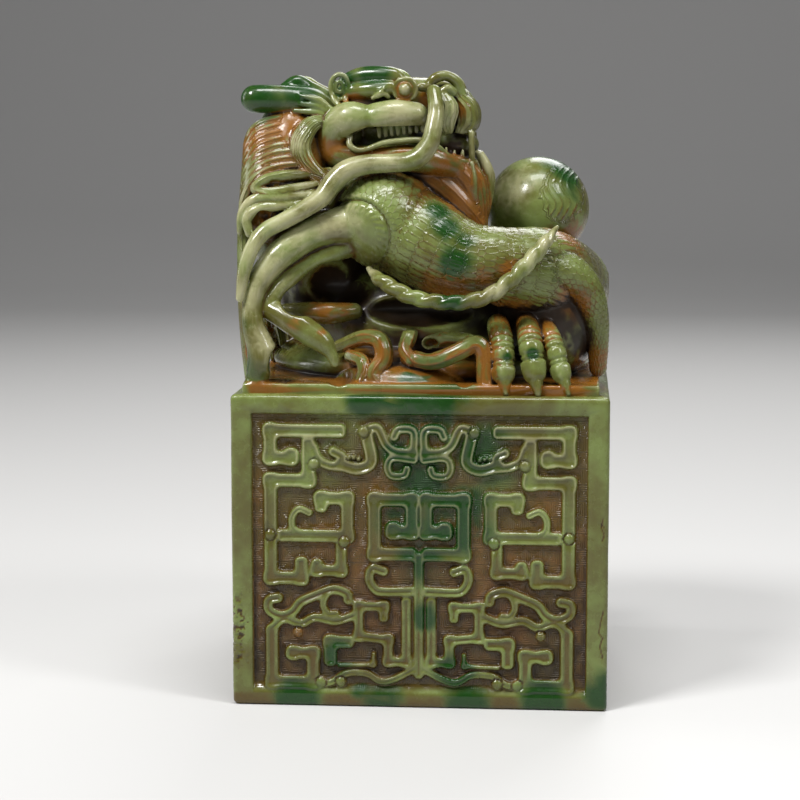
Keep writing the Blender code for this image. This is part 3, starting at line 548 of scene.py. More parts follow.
def head(clay):
    ball(clay, (-9.5, HEAD_MIDDLE, 45.6), (7, 6.8, 4.4), blend=0.5)
    ball(clay, (-14.5, HEAD_MIDDLE, 40.5), (4.8, 7.2, 6), blend=0.5)
    rope(clay, [(-8, HEAD_MIDDLE, 45, 5.2), (-2, HEAD_MIDDLE, 45.6, 4.5), (3, HEAD_MIDDLE, 45.8, 3.8),
                (5.4, HEAD_MIDDLE, 45, 2.8)], blend=0.4)
    rope(clay, [(-14, HEAD_MIDDLE, 37.5, 4.6), (-5, HEAD_MIDDLE, 37, 3.8), (2, HEAD_MIDDLE, 36.2, 3.2),
                (6, HEAD_MIDDLE, 35.2, 2.5)], blend=0.4)
    jaw = [(-15.3, -15.3, 38.6, 2.6), (-13, -16, 37.2, 2.4), (-8.1, -16.3, 36.7, 2.3),
           (-3.2, -16.2, 37, 2.2), (1.1, -15.2, 36.6, 2.2), (4.7, -13.4, 35.4, 2)]
    pair(clay, jaw, blend=0.3)
    pair(clay, [(-15.2, -15.6, 40, 2.6), (-14.4, -16.4, 42, 2.7), (-12.2, -17.2, 43.3, 2.8),
                (-10.4, -17.4, 43.4, 2.4)], blend=0.4)
    pair(clay, [(-7.8, -17.2, 43.5, 2.4), (-4.7, -17.1, 44, 2.4), (-1.6, -16.4, 43.9, 2.1)], blend=0.35)
    pair(clay, [(-13.1, -13.2, 49.4, 1.2), (-10.7, -13.8, 50.1, 1.5), (-7.8, -14.3, 50.3, 1.55),
                (-5.1, -14.8, 50.1, 1.4), (-3.5, -15.1, 49.3, 0.8)], blend=0.12)
    pair(clay, [(-12.8, -14.4, 47.6, 1.3), (-9, -15.4, 47.9, 1.5), (-5.7, -15.8, 48.3, 1.2)], blend=0.3)
    pair(clay, [(-8.4, -16.9, 46.6, 0.35), (-7.2, -17.2, 47.4, 0.4), (-6.6, -17, 48.2, 0.3)], blend=0.1)
    pair(clay, [(-5.9, -16.6, 46.8, 0.35), (-6.6, -17, 47.3, 0.4), (-7.6, -17.2, 46.8, 0.3)], blend=0.1)
    for side in (1, -1):
        ball(clay, (-3.2, HEAD_MIDDLE - side * 6.9, 48), (1.75, 1.3, 1.75), blend=0.3)
        ball(clay, (-3.2, HEAD_MIDDLE - side * 7.6, 48), 1.15, blend=0.02)
    ring = [(-3.2 + 1.75 * math.cos(t), -16.5, 48.0 + 1.7 * math.sin(t), 0.42)
            for t in np.linspace(0, 2 * math.pi, 13)]
    pair(clay, ring, blend=0.05)
    pair(clay, [(-1, -14.6, 48.4, 0.7), (0.2, -13.8, 48.2, 0.7)], blend=0.2)
    pair(clay, [(0.2, -13, 48.6, 0.8), (1.5, -13, 49.9, 0.85), (3.3, -12.5, 50.2, 0.85),
                (4.9, -12, 49.1, 0.85), (5.6, -11.5, 47.2, 0.9)], blend=0.1)
    pair(clay, [(2.4, -13.4, 47.6, 0.7), (3.5, -13.3, 48.2, 0.75), (4.3, -12.9, 47.6, 0.7)], blend=0.08)
    tuft = combed(7, 0.25, 14)
    pair(clay, [(2.7, -13.3, 47, 1.1), (3.6, -14, 45, 1.7), (3.2, -14, 43.1, 1.65),
                (3.5, -13.5, 41.2, 0.9)], blend=0.06, **tuft)
    pair(clay, [(5, -11.4, 46.8, 1.3), (6.5, -11.2, 44.9, 1.95), (6.6, -11.2, 42.7, 1.9),
                (5.6, -12, 41, 1.1)], blend=0.06, **tuft)
    pair(clay, [(-15.4, -16.9, 43.1, 0.5), (-18.2, -18.2, 42.4, 1.5), (-20.1, -18.9, 39.6, 2.1),
                (-19.9, -19.3, 36.9, 2.3), (-17.8, -19.8, 34.6, 1.8), (-14.2, -20, 33.2, 0.6)], blend=0.1,
         flat=((0.4, 1, 0), 0.6), **combed(6, 0.2, 22))
    horn = [(-15.6, -13, 44.6, 1.6), (-18.5, -14.2, 46.1, 2.1), (-21.9, -15.4, 46.4, 2.25),
            (-25.6, -16.2, 46.5, 2.3), (-27.6, -16.4, 46.5, 2.25)]
    pair(clay, horn, blend=0.2)
    pair(clay, [(-22.9, -14, 48, 1.2), (-21, -13.4, 49, 1.4), (-19, -13, 48.2, 1.2),
                (-16.6, -13, 47.2, 1)], blend=0.35)
    for drop in (0, 1, 2):
        pair(clay, [(-20.1 - 0.5 * drop, -16.9, 47.0 - 1.2 * drop, 0.4), (-17.2, -17.2, 46.3 - drop, 0.6),
                    (-15.6, -16.9, 45.2 - 0.9 * drop, 0.5), (-13.9, -16.6, 44.2 - 0.8 * drop, 0.3)],
             blend=0.08)
    for radius, thick in ((1.5, 0.42), (0.65, 0.4)):
        curl = [(-13.9 + radius * math.cos(t), -15.4, 48.4 + 1.35 * radius * math.sin(t), thick)
                for t in np.linspace(0.2, 2 * math.pi, 9)]
        pair(clay, curl, blend=0.05)
    pair(clay, [(-15.2, -15.2, 47.6, 0.45), (-14.6, -16, 46, 0.5), (-12.8, -16.6, 44.9, 0.4)], blend=0.06)
    pair(clay, [(-12.6, -15, 47.2, 0.45), (-12.9, -15.8, 46.2, 0.45), (-12, -16.6, 45.3, 0.3)],
         blend=0.06)


def beard(clay):
    rope(clay, [(3.6, -12.5, 36, 2.2), (6.6, -12.2, 33.4, 2.9), (8, -12.4, 29.8, 2.2),
                (9.1, -13, 26.2, 0.9)], blend=0.4, **combed(4, 0.12, 14))
    rope(clay, [(-1.5, -12, 34.5, 3.2), (2.4, -12.6, 32.4, 3), (5.6, -13.2, 29.6, 2.6),
                (8.6, -13.2, 26.4, 1.4)], blend=0.5, **combed(3, 0.1, 10))
    rope(clay, [(8.4, -11, 38, 0.7), (9.7, -11, 35.6, 0.9), (10.3, -11, 33.4, 0.9),
                (9.9, -11.5, 29.9, 0.8), (9.3, -12.4, 26.2, 0.6)], blend=0.3)
    rope(clay, [(7.4, -14, 36.2, 0.4), (7.9, -14.6, 33.4, 0.5), (8, -14.6, 30.6, 0.3)], blend=0.25)
    rope(clay, [(6.6, HEAD_MIDDLE + 3.2, 36.6, 2.3), (7, HEAD_MIDDLE + 2.8, 33.7, 3.2),
                (8, HEAD_MIDDLE + 1, 30.2, 2.3), (9.1, -10, 27, 0.9)], blend=0.4)


def mouth(clay):
    """The open jaws: a slot along each side that runs right through in front, with teeth and lips."""
    pair(clay, [(-11, -17.6, 40, 1.3), (-8.6, -17.6, 40.7, 1.45), (-4.7, -17.2, 41.1, 1.2),
                (-0.6, -16.2, 41, 1.3), (2.5, -15.6, 39.8, 1.4), (4.8, -14.2, 39.3, 1.7),
                (9, -12.4, 39.4, 1.5)], blend=0.12, out=True, flat=((0, 1, 0), 1.9))
    rope(clay, [(4.8, -14, 39.2, 1.7), (5.4, -9, 39.4, 1.8), (4.8, -4, 39.2, 1.7)], blend=0.15, out=True)
    pair(clay, [(-11.9, -17.6, 40.6, 0.45), (-12.1, -18.2, 39.4, 0.5), (-11.2, -18.6, 38.5, 0.5),
                (-9.6, -18.5, 38.3, 0.5), (-6.7, -18.3, 39.4, 0.5), (-4, -17.9, 39.8, 0.5),
                (-0.6, -17.2, 39.9, 0.5), (1.9, -16.2, 38.9, 0.5), (3.6, -15.2, 37.4, 0.5),
                (5.8, -14, 36.3, 0.6), (7.7, -12, 36.2, 0.7)], blend=0.12)
    for number in range(8):
        share = number / 7
        x, y, z = -7.4 + 6.9 * share, -16.9 + 0.9 * share, 41.3 + 0.9 * share
        pair(clay, [(x, y, z + 0.5, 0.45), (x + 0.1, y - 0.2, z - 0.8, 0.34)], blend=0.05)
    for x, y, z, tall in ((1.9, -14.9, 38.1, 1.3), (3.2, -14.3, 37.2, 1.5), (4.5, -13.6, 36.7, 1.5),
                          (5.8, -12.8, 36.6, 1.7)):
        pair(clay, [(x, y, z, 0.5), (x + 0.1, y, z + tall, 0.2)], blend=0.05)
    ball(clay, (4.2, HEAD_MIDDLE, 39.2), (4.2, 3.2, 2.6), blend=0.2)
    pair(clay, [(7.3, -12.6, 41, 0.55), (7.4, -12.9, 38.2, 0.5), (7.4, -12.9, 35.9, 0.55)], blend=0.1)


def hollows(clay):
    ball(clay, (-13.5, -20.5, 16), (6, 8.5, 4.6), out=True)
    ball(clay, (-19.5, -23, 14.2), (3, 6, 2.4), out=True)
    ball(clay, (-21.3, -25.5, 4.6), (3.2, 4.5, 3.2), out=True)
    ball(clay, (-13, -25, 2.8), (2, 4, 2), out=True)
    ball(clay, (1.2, -23.5, 7.4), (1.6, 3, 1.3), out=True, blend=0.2)
    ball(clay, (7, -26.5, 3.2), (2, 2.6, 2.2), out=True, blend=0.2)
    ball(clay, (4.6, -24, 10.8), (6, 4, 1.8), out=True)
    ball(clay, (-1, -20, 12.4), (10, 6.5, 2.8), out=True)


def tucked_toe(clay):
    """The far foot's toe, seen through the gap under the shoulder."""
    rope(clay, [(-22.5, -16.5, 12.2, 1.3), (-19.1, -18, 12.1, 1.7), (-15.3, -18.3, 12, 1.8),
                (-11.5, -16.8, 12.2, 1.4)], blend=0.2)


def whiskers(clay):
    rope(clay, [(1.4, -16.2, 47.6, 1.2), (1.9, -18.4, 44.7, 1.3), (1.6, -19.6, 41.9, 1.4),
                (0.9, -20.3, 39.2, 1.55), (-1.3, -20.6, 36.9, 1.6), (-5, -20.5, 36.3, 1.5),
                (-8.9, -20.4, 36.1, 1.6), (-12.2, -20.5, 35.2, 1.7), (-14.4, -21, 33.3, 1.65),
                (-16.1, -22, 30.9, 1.5), (-18.5, -23, 29.2, 1.4), (-21.8, -24, 27.3, 1.35),
                (-24.9, -25, 25.6, 1.3), (-26.8, -26, 23, 1.2), (-28, -26.6, 19.5, 1.1),
                (-28.7, -26.8, 15.1, 0.7)], blend=0.06)
    rope(clay, [(1.4, -1.8, 47.6, 1.2), (1.9, 0.4, 44.7, 1.3), (1.6, 1.6, 41.9, 1.4), (0, 3.4, 38.6, 1.5),
                (-5, 6.5, 36.4, 1.5), (-11, 10, 34, 1.5), (-16, 13.5, 30, 1.4), (-20, 17, 25, 1.1),
                (-21.6, 19.4, 20.5, 0.6)], blend=0.06)


def pearl(clay):
    def flames(x, y, z):
        across, up = x - 22.2, z - 31.0
        inside = (across / 3.4) ** 2 + (up / 4.8) ** 2 < 1
        return {"hair": (4.0 + 0.85 * across + 0.7 * np.sin(0.9 * up)) * inside}

    ball(clay, (17.9, 3, 28.3), 8.7, blend=0.1, marks=flames)


def knob_clay():
    clay = Clay(KNOB_LOW, KNOB_HIGH, GRAIN)
    for part in (core, clouds, body, shoulder, haunch, mane, legs, fins, head, beard, mouth, hollows,
                 tucked_toe, whiskers, pearl):
        part(clay)
    return clay


def box_blur(values, cells):
    """Mean over a cube this many cells each side of every cell."""
    for axis in range(3):
        pads = [(0, 0)] * 3
        pads[axis] = (cells + 1, cells)
        total = np.cumsum(np.pad(values, pads, mode="edge"), axis=axis, dtype=np.float32)
        upper = [slice(None)] * 3
        lower = [slice(None)] * 3
        upper[axis] = slice(2 * cells + 1, None)
        lower[axis] = slice(0, -(2 * cells + 1))
        values = (total[tuple(upper)] - total[tuple(lower)]) / (2 * cells + 1)
    return values


def mesh_from(name, points, loops, sides):
    """A mesh from arrays of points and of faces with this many sides."""
    mesh = bpy.data.meshes.new(name)
    count = len(loops)
    mesh.vertices.add(len(points))
    mesh.vertices.foreach_set("co", np.ascontiguousarray(points, np.float32).ravel())
    mesh.loops.add(count * sides)
    mesh.loops.foreach_set("vertex_index", np.ascontiguousarray(loops, np.int32).ravel())
    mesh.polygons.add(count)
    mesh.polygons.foreach_set("loop_start", np.arange(0, count * sides, sides, dtype=np.int32))
    mesh.update(calc_edges=True)
    mesh.validate()
    return mesh


def thinned(mesh):
    """An object with this mesh, brought down to the most triangles allowed where it is smoothest."""
    name = mesh.name
    made = bpy.data.objects.new(name, mesh)
    bpy.context.scene.collection.objects.link(made)
    mesh.calc_loop_triangles()
    ratio = MOST_TRIANGLES / len(mesh.loop_triangles)
    if ratio < 1:
        coarse = made.modifiers.new("Coarse", "DECIMATE")
        coarse.ratio = ratio
        graph = bpy.context.evaluated_depsgraph_get()
        thin = bpy.data.meshes.new_from_object(made.evaluated_get(graph))
        made.modifiers.clear()
        made.data = thin
        bpy.data.meshes.remove(mesh)
    made.data.name = name
    made.data.shade_smooth()
    return made


def points_of(obj):
    points = np.empty(len(obj.data.vertices) * 3, np.float32)
    obj.data.vertices.foreach_get("co", points)
    return points.reshape(-1, 3)


def give(obj, name, values):
    """A number at each point of the mesh, for its material."""
    layer = obj.data.attributes.new(name, "FLOAT", "POINT")
    layer.data.foreach_set("value", np.ascontiguousarray(values, np.float32))


def smooth_sample(volume, clay, spots):
    """The volume's values at some places, smooth within a part and sharp between parts."""
    place = (spots - clay.low) / clay.grain
    base = np.clip(np.floor(place).astype(int), 0, clay.size - 2)
    share = place - base
    middle = sample(volume, clay, spots)
    total, weights = np.zeros(len(spots)), np.full(len(spots), 1e-9)
    for corner in np.ndindex(2, 2, 2):
        weight = np.prod(np.where(corner, share, 1 - share), axis=1).clip(0, 1)
        index = base + corner
        value = volume[index[:, 0], index[:, 1], index[:, 2]]
        weight = np.where(np.abs(value - middle) < 1.2, weight, 0)
        total += weight * value
        weights += weight
    return np.where(weights > 1e-6, total / weights, middle)


def sample(volume, clay, spots):
    index = np.clip(np.round((spots - clay.low) / clay.grain).astype(int), 0, clay.size - 1)
    return volume[index[:, 0], index[:, 1], index[:, 2]]


def knob():
    clay = knob_clay()
    grid = openvdb.FloatGrid(FAR)
    grid.copyFromArray(clay.field)
    points, quads = grid.convertToQuads(0.0)
    points = points * clay.grain + clay.low
    metres = np.clip(points * UNITS + BLOCK_TOP, LOW, HIGH)
    made = thinned(mesh_from("dragon_knob", metres, quads[:, ::-1], 4))
    spots = (points_of(made) - BLOCK_TOP) / UNITS
    solid = np.clip(0.5 - clay.field / (2 * clay.grain), 0, 1).astype(np.float32)
    fine = sample(box_blur(solid, max(1, round(0.7 / clay.grain))), clay, spots)
    broad = sample(box_blur(solid, max(1, round(2.2 / clay.grain))), clay, spots)
    for name in MARKS:
        give(made, name, smooth_sample(clay.marks[name], clay, spots))
    # How enclosed each place is, closely and broadly: the material browns these places as soil and darkens
    # them as painted shade
    give(made, "crease", np.clip((fine - 0.5) * 3.0, -1, 1))
    give(made, "hollow_shade", np.clip((broad - 0.5) * 2.5, -1, 1))
    finish_knob(made)
    return made


# The block

def line_distance(across, up, points):
    """How far each place lies from a line through the points."""
    nearest = np.full(across.shape, 1e3)
    for (a0, b0), (a1, b1) in zip(points, points[1:]):
        ra, rb = a1 - a0, b1 - b0
        share = np.clip(((across - a0) * ra + (up - b0) * rb) / (ra * ra + rb * rb), 0, 1)
        nearest = np.minimum(nearest, np.hypot(across - a0 - share * ra, up - b0 - share * rb))
    return nearest


def square_bar(across, up, start, end, half, corner):
    """How far inside a straight bar with rounded corners each place lies."""
    run = np.subtract(end, start)
    length = np.hypot(*run)
    run = run / length
    along = (across - start[0]) * run[0] + (up - start[1]) * run[1] - length / 2
    aside = (up - start[1]) * run[0] - (across - start[0]) * run[1]
    dx = np.abs(along) - length / 2 + corner
    dy = np.abs(aside) - half + corner
    return corner - np.hypot(np.maximum(dx, 0), np.maximum(dy, 0)) - np.minimum(np.maximum(dx, dy), 0)


def band_inside(across, up, band):
    """How far inside one band each place lies, negative outside."""
    width, curled, points = band
    half = width / 2
    if curled:
        return half - line_distance(across, up, spine_of([(*point, 0, 0) for point in points], 0.5)[:, :2])
    inside = np.full(across.shape, -9.0)
    for number, (start, end) in enumerate(zip(points, points[1:])):
        run = np.subtract(end, start) / np.hypot(*np.subtract(end, start)) * half
        begin = np.subtract(start, run) if number else np.array(start)
        finish = np.add(end, run) if number + 2 < len(points) else np.array(end)
        inside = soft_max(inside, square_bar(across, up, begin, finish, half, 0.8 * half), 0.9)
    return inside


# Millimetres on the block's faces. Frets are drawn outwards from the middle and up from the panel's foot
BLOCK_SIZE = np.array([WIDTH, DEPTH, BLOCK_HEIGHT]) * 1000
EDGE_ROUND = 0.8
SIDE_BORDER = 3.2
TOP_BORDER = 2.8
FOOT_BORDER = 2.2
GROUND_DEPTH = 0.9
DISH_DEPTH = 0.34
# How far inside a band its wall rises, and its dished middle begins and ends
WALL = (-0.12, 0.30)
DISH = (0.30, 0.95)
BLOCK_GRAIN = 0.19

# The front and back fret: (band width, whether it curls, points)
FRET = [
    (2.3, False, [(11.5, 42.4), (23.7, 42.4), (23.7, 38.0), (20.4, 38.0), (20.2, 39.7)]),
    (2.3, False, [(17.6, 41.5), (17.6, 34.4), (23.7, 34.4), (23.7, 18.6), (18.8, 18.6), (18.8, 22.2)]),
    (2.2, False, [(22.7, 25.5), (11.4, 25.5), (11.4, 31.6), (15.6, 31.6), (15.6, 29.2)]),
    (2.0, False, [(12.4, 24.6), (12.4, 19.9), (16.3, 19.9), (16.3, 21.9)]),
    (1.3, True, [(17.5, 29.2), (19.1, 29.8), (20.2, 28.6), (20.2, 26.9), (19.3, 25.8)]),
    (1.7, True, [(8.8, 42.3), (6.6, 42.9), (5.2, 40.3), (3.6, 39.2), (0.9, 39.0)]),
    (1.6, True, [(0.9, 38.8), (0.9, 42.4), (3.2, 42.7), (3.9, 41.6)]),
    (1.5, True, [(0.8, 37.9), (4.1, 38.2), (5.0, 36.9), (4.4, 35.4), (2.4, 35.4), (1.9, 36.4)]),
    (1.7, True, [(16.8, 39.6), (15.8, 37.6), (13.3, 36.8), (12.2, 38.2), (13.6, 39.1)]),
    (2.2, True, [(12.3, 37.0), (9.6, 36.4), (7.6, 37.6), (8.2, 41.4)]),
    (2.3, False, [(4.1, 28.0), (4.1, 26.3), (1.1, 26.3), (1.1, 31.5), (7.1, 31.5), (7.1, 22.7),
                  (0.3, 22.7)]),
    (1.7, True, [(5.6, 19.9), (7.4, 20.3), (7.9, 18.6), (6.9, 16.9), (5.2, 16.6), (1.4, 16.7)]),
    (1.7, False, [(5.6, 11.6), (5.6, 14.2), (9.6, 14.2), (9.6, 9.3), (4.9, 8.8), (4.9, 5.2), (2.0, 5.2),
                  (2.0, 15.8)]),
    (2.2, False, [(10.3, 8.3), (14.2, 8.3), (14.2, 4.2)]),
    (2.2, False, [(23.6, 10.8), (23.6, 1.6), (17.0, 1.6), (17.0, 6.4), (20.2, 6.4), (20.4, 5.2)]),
    (1.3, True, [(17.0, 1.5), (14.0, 1.7), (11.7, 3.1), (8.5, 3.2), (6.2, 2.0), (4.1, 2.3), (0.8, 4.0)]),
    (1.8, True, [(22.6, 15.3), (24.0, 14.9), (24.0, 13.3), (22.1, 12.4), (20.2, 13.1), (18.9, 14.7),
                 (16.5, 15.8), (13.7, 16.8), (11.6, 16.2), (11.3, 15.2)]),
    (1.3, True, [(15.0, 15.8), (15.3, 14.2), (14.5, 12.9), (13.3, 12.9)]),
    (1.6, True, [(23.6, 10.4), (21.6, 11.9), (18.9, 11.2), (16.6, 12.2), (13.3, 11.7), (10.5, 12.6)]),
    (0.8, False, [(13.0, 4.5), (7.3, 4.7), (7.2, 6.8)]),
    (1.7, False, [(0.0, 23.0), (0.0, 2.4)]),
]
# The plainer fret of the two flanks
FLANK_FRET = [
    (2.3, False, [(11.5, 42.4), (23.7, 42.4), (23.7, 34.4), (16.0, 34.4), (16.0, 38.0)]),
    (2.3, False, [(17.0, 24.6), (17.0, 28.6), (23.7, 28.6), (23.7, 18.6), (11.4, 18.6), (11.4, 31.6)]),
    (2.3, False, [(4.1, 28.0), (4.1, 26.3), (0.9, 26.3), (0.9, 31.5), (7.1, 31.5), (7.1, 22.7),
                  (0.3, 22.7)]),
    (2.2, False, [(1.0, 36.6), (1.0, 42.4), (7.4, 42.4), (7.4, 36.6)]),
    (2.2, False, [(2.4, 15.2), (2.4, 6.0), (7.6, 6.0), (7.6, 11.0)]),
    (2.2, False, [(17.4, 8.6), (17.4, 12.6), (23.6, 12.6), (23.6, 2.2), (12.2, 2.2), (12.2, 13.6)]),
]
BOSSES = [(11.9, 24.6), (23.8, 25.6), (16.7, 37.1), (8.8, 42.3), (19.4, 9.8), (15.7, 1.7), (12.5, 1.8)]
TEETH = [(9.6, 38.0), (10.4, 38.2), (11.2, 38.2)]
# What time has done to the front: a pitted patch on the left border and cracks on the right one
PITTED = (-29.2, 12.0, 1.3, 5.6)
CRACKS = [
    [(29.1, 31.2), (28.8, 29.8), (29.3, 28.6), (29.0, 27.6)],
    [(28.8, 30.4), (29.5, 29.4)],
    [(29.3, 16.4), (28.9, 14.6), (28.6, 12.8), (29.2, 12.0), (28.8, 10.6), (29.3, 8.6)],
]


def face_relief(across, up, flank, front):
    """How far the carved face lies outside its plane, its stain with painted shade and painted highlights,
    and how bare its ground is.
    """
    half = BLOCK_SIZE[1 if flank else 0] / 2 - SIDE_BORDER
    high = BLOCK_SIZE[2] - TOP_BORDER - FOOT_BORDER
    a, b = np.abs(across), up - FOOT_BORDER
    inside = np.full(a.shape, -9.0)
    for band in FLANK_FRET if flank else FRET:
        inside = soft_max(inside, band_inside(a, b, band), 0.8)
    ground = 1 - ease(inside, *WALL)
    level = -GROUND_DEPTH * ground - 0.04 - DISH_DEPTH * ease(inside, *DISH)
    # Dark on the ground and darkest along the walls, a painted highlight on the rims of the bands, a little
    # stained in the dishes
    stain_and_painted_light = 0.56 * ground + 0.24 * ease(inside, -0.45, -0.12) * ground
    stain_and_painted_light = stain_and_painted_light - 0.75 * ease(inside, 0.05, 0.35) * (1 - ease(inside, 0.4, 0.8))
    stain_and_painted_light = stain_and_painted_light + 0.22 * ease(inside, 0.4, 0.9)
    if not flank:
        foot = -GROUND_DEPTH * 0.55
        for spots, radius in ((BOSSES, 0.85), (TEETH, 0.38)):
            for centre in spots:
                reach = np.hypot(a - centre[0], b - centre[1]) / radius
                dome = foot + 0.5 * np.sqrt(np.clip(1 - reach**2, 0, 1))
                level = np.where(reach < 1.3, np.minimum(level, foot), level)
                level = np.maximum(level, np.where(reach < 1, dome, -9))
                stain_and_painted_light = np.where(reach < 0.9, -0.4, np.where(reach < 1.3, 0.5, stain_and_painted_light))
    panel = ease(half - a, 0.0, 0.3) * ease(high - b, 0.0, 0.3) * ease(b, -0.2, 1.6)
    edge = 0.35 * (ease(half - a, 0.0, 0.25) - ease(half - a, 0.3, 1.3))
    rising = ease(b, 0.0, 3.2)
    # Painted shade of light from above: the face is darker towards its foot and lighter towards its top
    shade_from_above = 0.28 - 0.46 * ease(up, 16, 44)
    stain_and_painted_light = panel * (stain_and_painted_light + shade_from_above + np.maximum(edge, 0)) * (0.6 + 0.4 * rising) - 0.12 * (1 - panel)
    # Painted shade along the foot of the block
    stain_and_painted_light = stain_and_painted_light + 0.7 * (1 - ease(up, 1.6, 2.8))
    level, ground = level * panel, ground * panel * rising
    if front:
        for crack in CRACKS:
            split = np.exp(-((line_distance(across, up, crack) / 0.10) ** 2))
            level = level - 0.14 * split
            stain_and_painted_light = stain_and_painted_light + 1.3 * split
    return level, stain_and_painted_light, ground


def wear(points):
    """The hand's unevenness, and the pitted patch, in millimetres."""
    uneven = 0.035 * noise(points, 5.0, 1) + 0.012 * noise(points, 1.1, 2)
    across, deep, up = points.T
    centre, height, wide, tall = PITTED
    patch = np.exp(-(((across - centre) / wide) ** 2) - ((up - height) / tall) ** 2)
    patch = np.where(deep < -BLOCK_SIZE[1] / 2 + 4, patch, 0)
    pits = ease(noise(points, 0.55, 3) + 0.5 * noise(points, 0.3, 4), 0.05, 0.45) * ease(patch, 0.15, 0.6)
    specks = ease(noise(points, 0.5, 5), 0.62, 0.75) * ease(patch, 0.01, 0.1)
    return uneven - 0.22 * pits - 0.1 * specks, pits + specks, patch


# The kinds of face: (whether it is a flank, whether it is the front)
FACES = ((True, False), (False, True), (False, False))


def block_plan():
    """Columns round the block: where each stands, which way it faces, its place along its face and kind."""
    halves = BLOCK_SIZE[:2] / 2 - EDGE_ROUND
    columns = []
    for turn in range(4):
        angle = turn * math.pi / 2
        out = np.array([math.sin(angle), -math.cos(angle)]).round(9)
        side = np.array([math.cos(angle), math.sin(angle)]).round(9)
        long, far = halves[turn % 2], halves[1 - turn % 2]
        for u in np.linspace(-long, long, round(2 * long / BLOCK_GRAIN) + 1):
            columns.append((out * far + side * u, out, u, turn % 2 == 1, turn == 0))
        for step in (1, 2, 3, 4):
            bend = angle + step / 5 * math.pi / 2
            facing = math.sin(bend), -math.cos(bend)
            columns.append((out * far + side * long, facing, long + EDGE_ROUND, turn % 2 == 1, False))
    return [np.array(values) for values in zip(*columns)]


def block_profile():
    """Rows up the block: how high each is, and how far out, with rounded edges at foot and top."""
    tilt = np.radians(np.linspace(0, 90, 6))
    rise, out = EDGE_ROUND * (1 - np.cos(tilt)), EDGE_ROUND * np.sin(tilt)
    high = BLOCK_SIZE[2]
    straight = np.linspace(EDGE_ROUND, high - EDGE_ROUND, round((high - 2 * EDGE_ROUND) / BLOCK_GRAIN) + 1)
    up = np.concatenate([rise[:-1], straight, high - rise[::-1][1:]])
    return up, np.concatenate([out[:-1], np.full(len(straight), EDGE_ROUND), out[::-1][1:]])


def capped(points, triangles, edge, order):
    """The wrap with one end closed by rings of triangles that shrink to its middle."""
    rim = edge
    for shrink in (0.97, 0.9):
        inner = len(points) + np.arange(len(edge))
        points = np.concatenate([points, points[edge] * (shrink, shrink, 1)])
        for corners in ((rim, np.roll(rim, -1), inner), (np.roll(rim, -1), np.roll(inner, -1), inner)):
            triangles = np.concatenate([triangles, np.stack(corners, 1)[:, order]])
        rim = inner
    middle = np.full(len(edge), len(points))
    triangles = np.concatenate([triangles, np.stack([rim, np.roll(rim, -1), middle], 1)[:, order]])
    return np.concatenate([points, (points[edge] * (0, 0, 1)).mean(0)[None]]), triangles


def block():
    """A wrap of fine quads round the four faces, with caps, raised and sunk by the carving."""
    base, normal, run, flank_of, front_of = block_plan()
    up, out = block_profile()
    columns, rows = len(base), len(up)
    level = np.zeros((columns, rows))
    for flank, front in FACES:
        chosen = (flank_of == flank) & (front_of == front)
        a, b = np.meshgrid(run[chosen], up, indexing="ij")
        level[chosen] = face_relief(a, b, flank, front)[0]
    flat = base[:, None, :] + normal[:, None, :] * (out + level)[..., None]
    upward = np.broadcast_to(up[None, :, None], (columns, rows, 1))
    points = np.concatenate([flat, upward], 2).reshape(-1, 3)
    points[:, :2] += np.repeat(normal, rows, axis=0) * wear(points)[0][:, None]
    limit = BLOCK_SIZE[:2] / 2
    points[:, :2] = np.clip(points[:, :2], -limit, limit)
    index = np.arange(columns * rows).reshape(columns, rows)
    after = np.roll(index, -1, axis=0)
    quads = np.stack([index[:, :-1], after[:, :-1], after[:, 1:], index[:, 1:]], -1).reshape(-1, 4)
    triangles = np.concatenate([quads[:, [0, 1, 2]], quads[:, [0, 2, 3]]])
    points, triangles = capped(points, triangles, index[:, 0], (0, 2, 1))
    points, triangles = capped(points, triangles, index[:, -1], (0, 1, 2))
    made = thinned(mesh_from("seal_block", points / 1000, triangles, 3))
    finish_block(made)
    return made


def finish_block(made):
    spots = points_of(made).astype(float) * 1000
    across, deep, up = spots.T
    halves = BLOCK_SIZE[:2] / 2
    flank = halves[0] - np.abs(across) < halves[1] - np.abs(deep)
    run = np.where(flank, deep, across)
    stain_and_painted_light, ground = np.zeros(len(spots)), np.zeros(len(spots))
    for side, front in FACES:
        chosen = flank if side else ~flank & ((deep < 0) == front)
        _, stain_and_painted_light[chosen], ground[chosen] = face_relief(run[chosen], up[chosen], side, front)
    _, pits, patch = wear(spots)
    inward = np.minimum(halves[0] - np.abs(across), halves[1] - np.abs(deep))
    ledge = ease(up, BLOCK_SIZE[2] - 0.15, BLOCK_SIZE[2] - 0.02) * ease(inward, 0.6, 1.3)
    # The faces' stain with its painted shade and painted highlights, the pits and the rusty ledge
    give(made, "crease", np.clip(stain_and_painted_light + 0.9 * pits + 0.25 * patch + 0.9 * ledge, -1, 1.3))
    # Painted shade: darker towards the foot of the block
    give(made, "hollow_shade", 0.18 - 0.18 * ease(up, 0, BLOCK_SIZE[2]))
    give(made, "ground", ground)
    give(made, "run", run)
    soil = ground * (0.45 - 0.3 * ease(up, 16, 44) + 0.25 * noise(spots, 7.0, 6))
    for name, places in STAINS_AND_PAINTED_LIGHT.items():
        give(made, name, blots(spots / 1000, places) + soil * (name == "rust"))
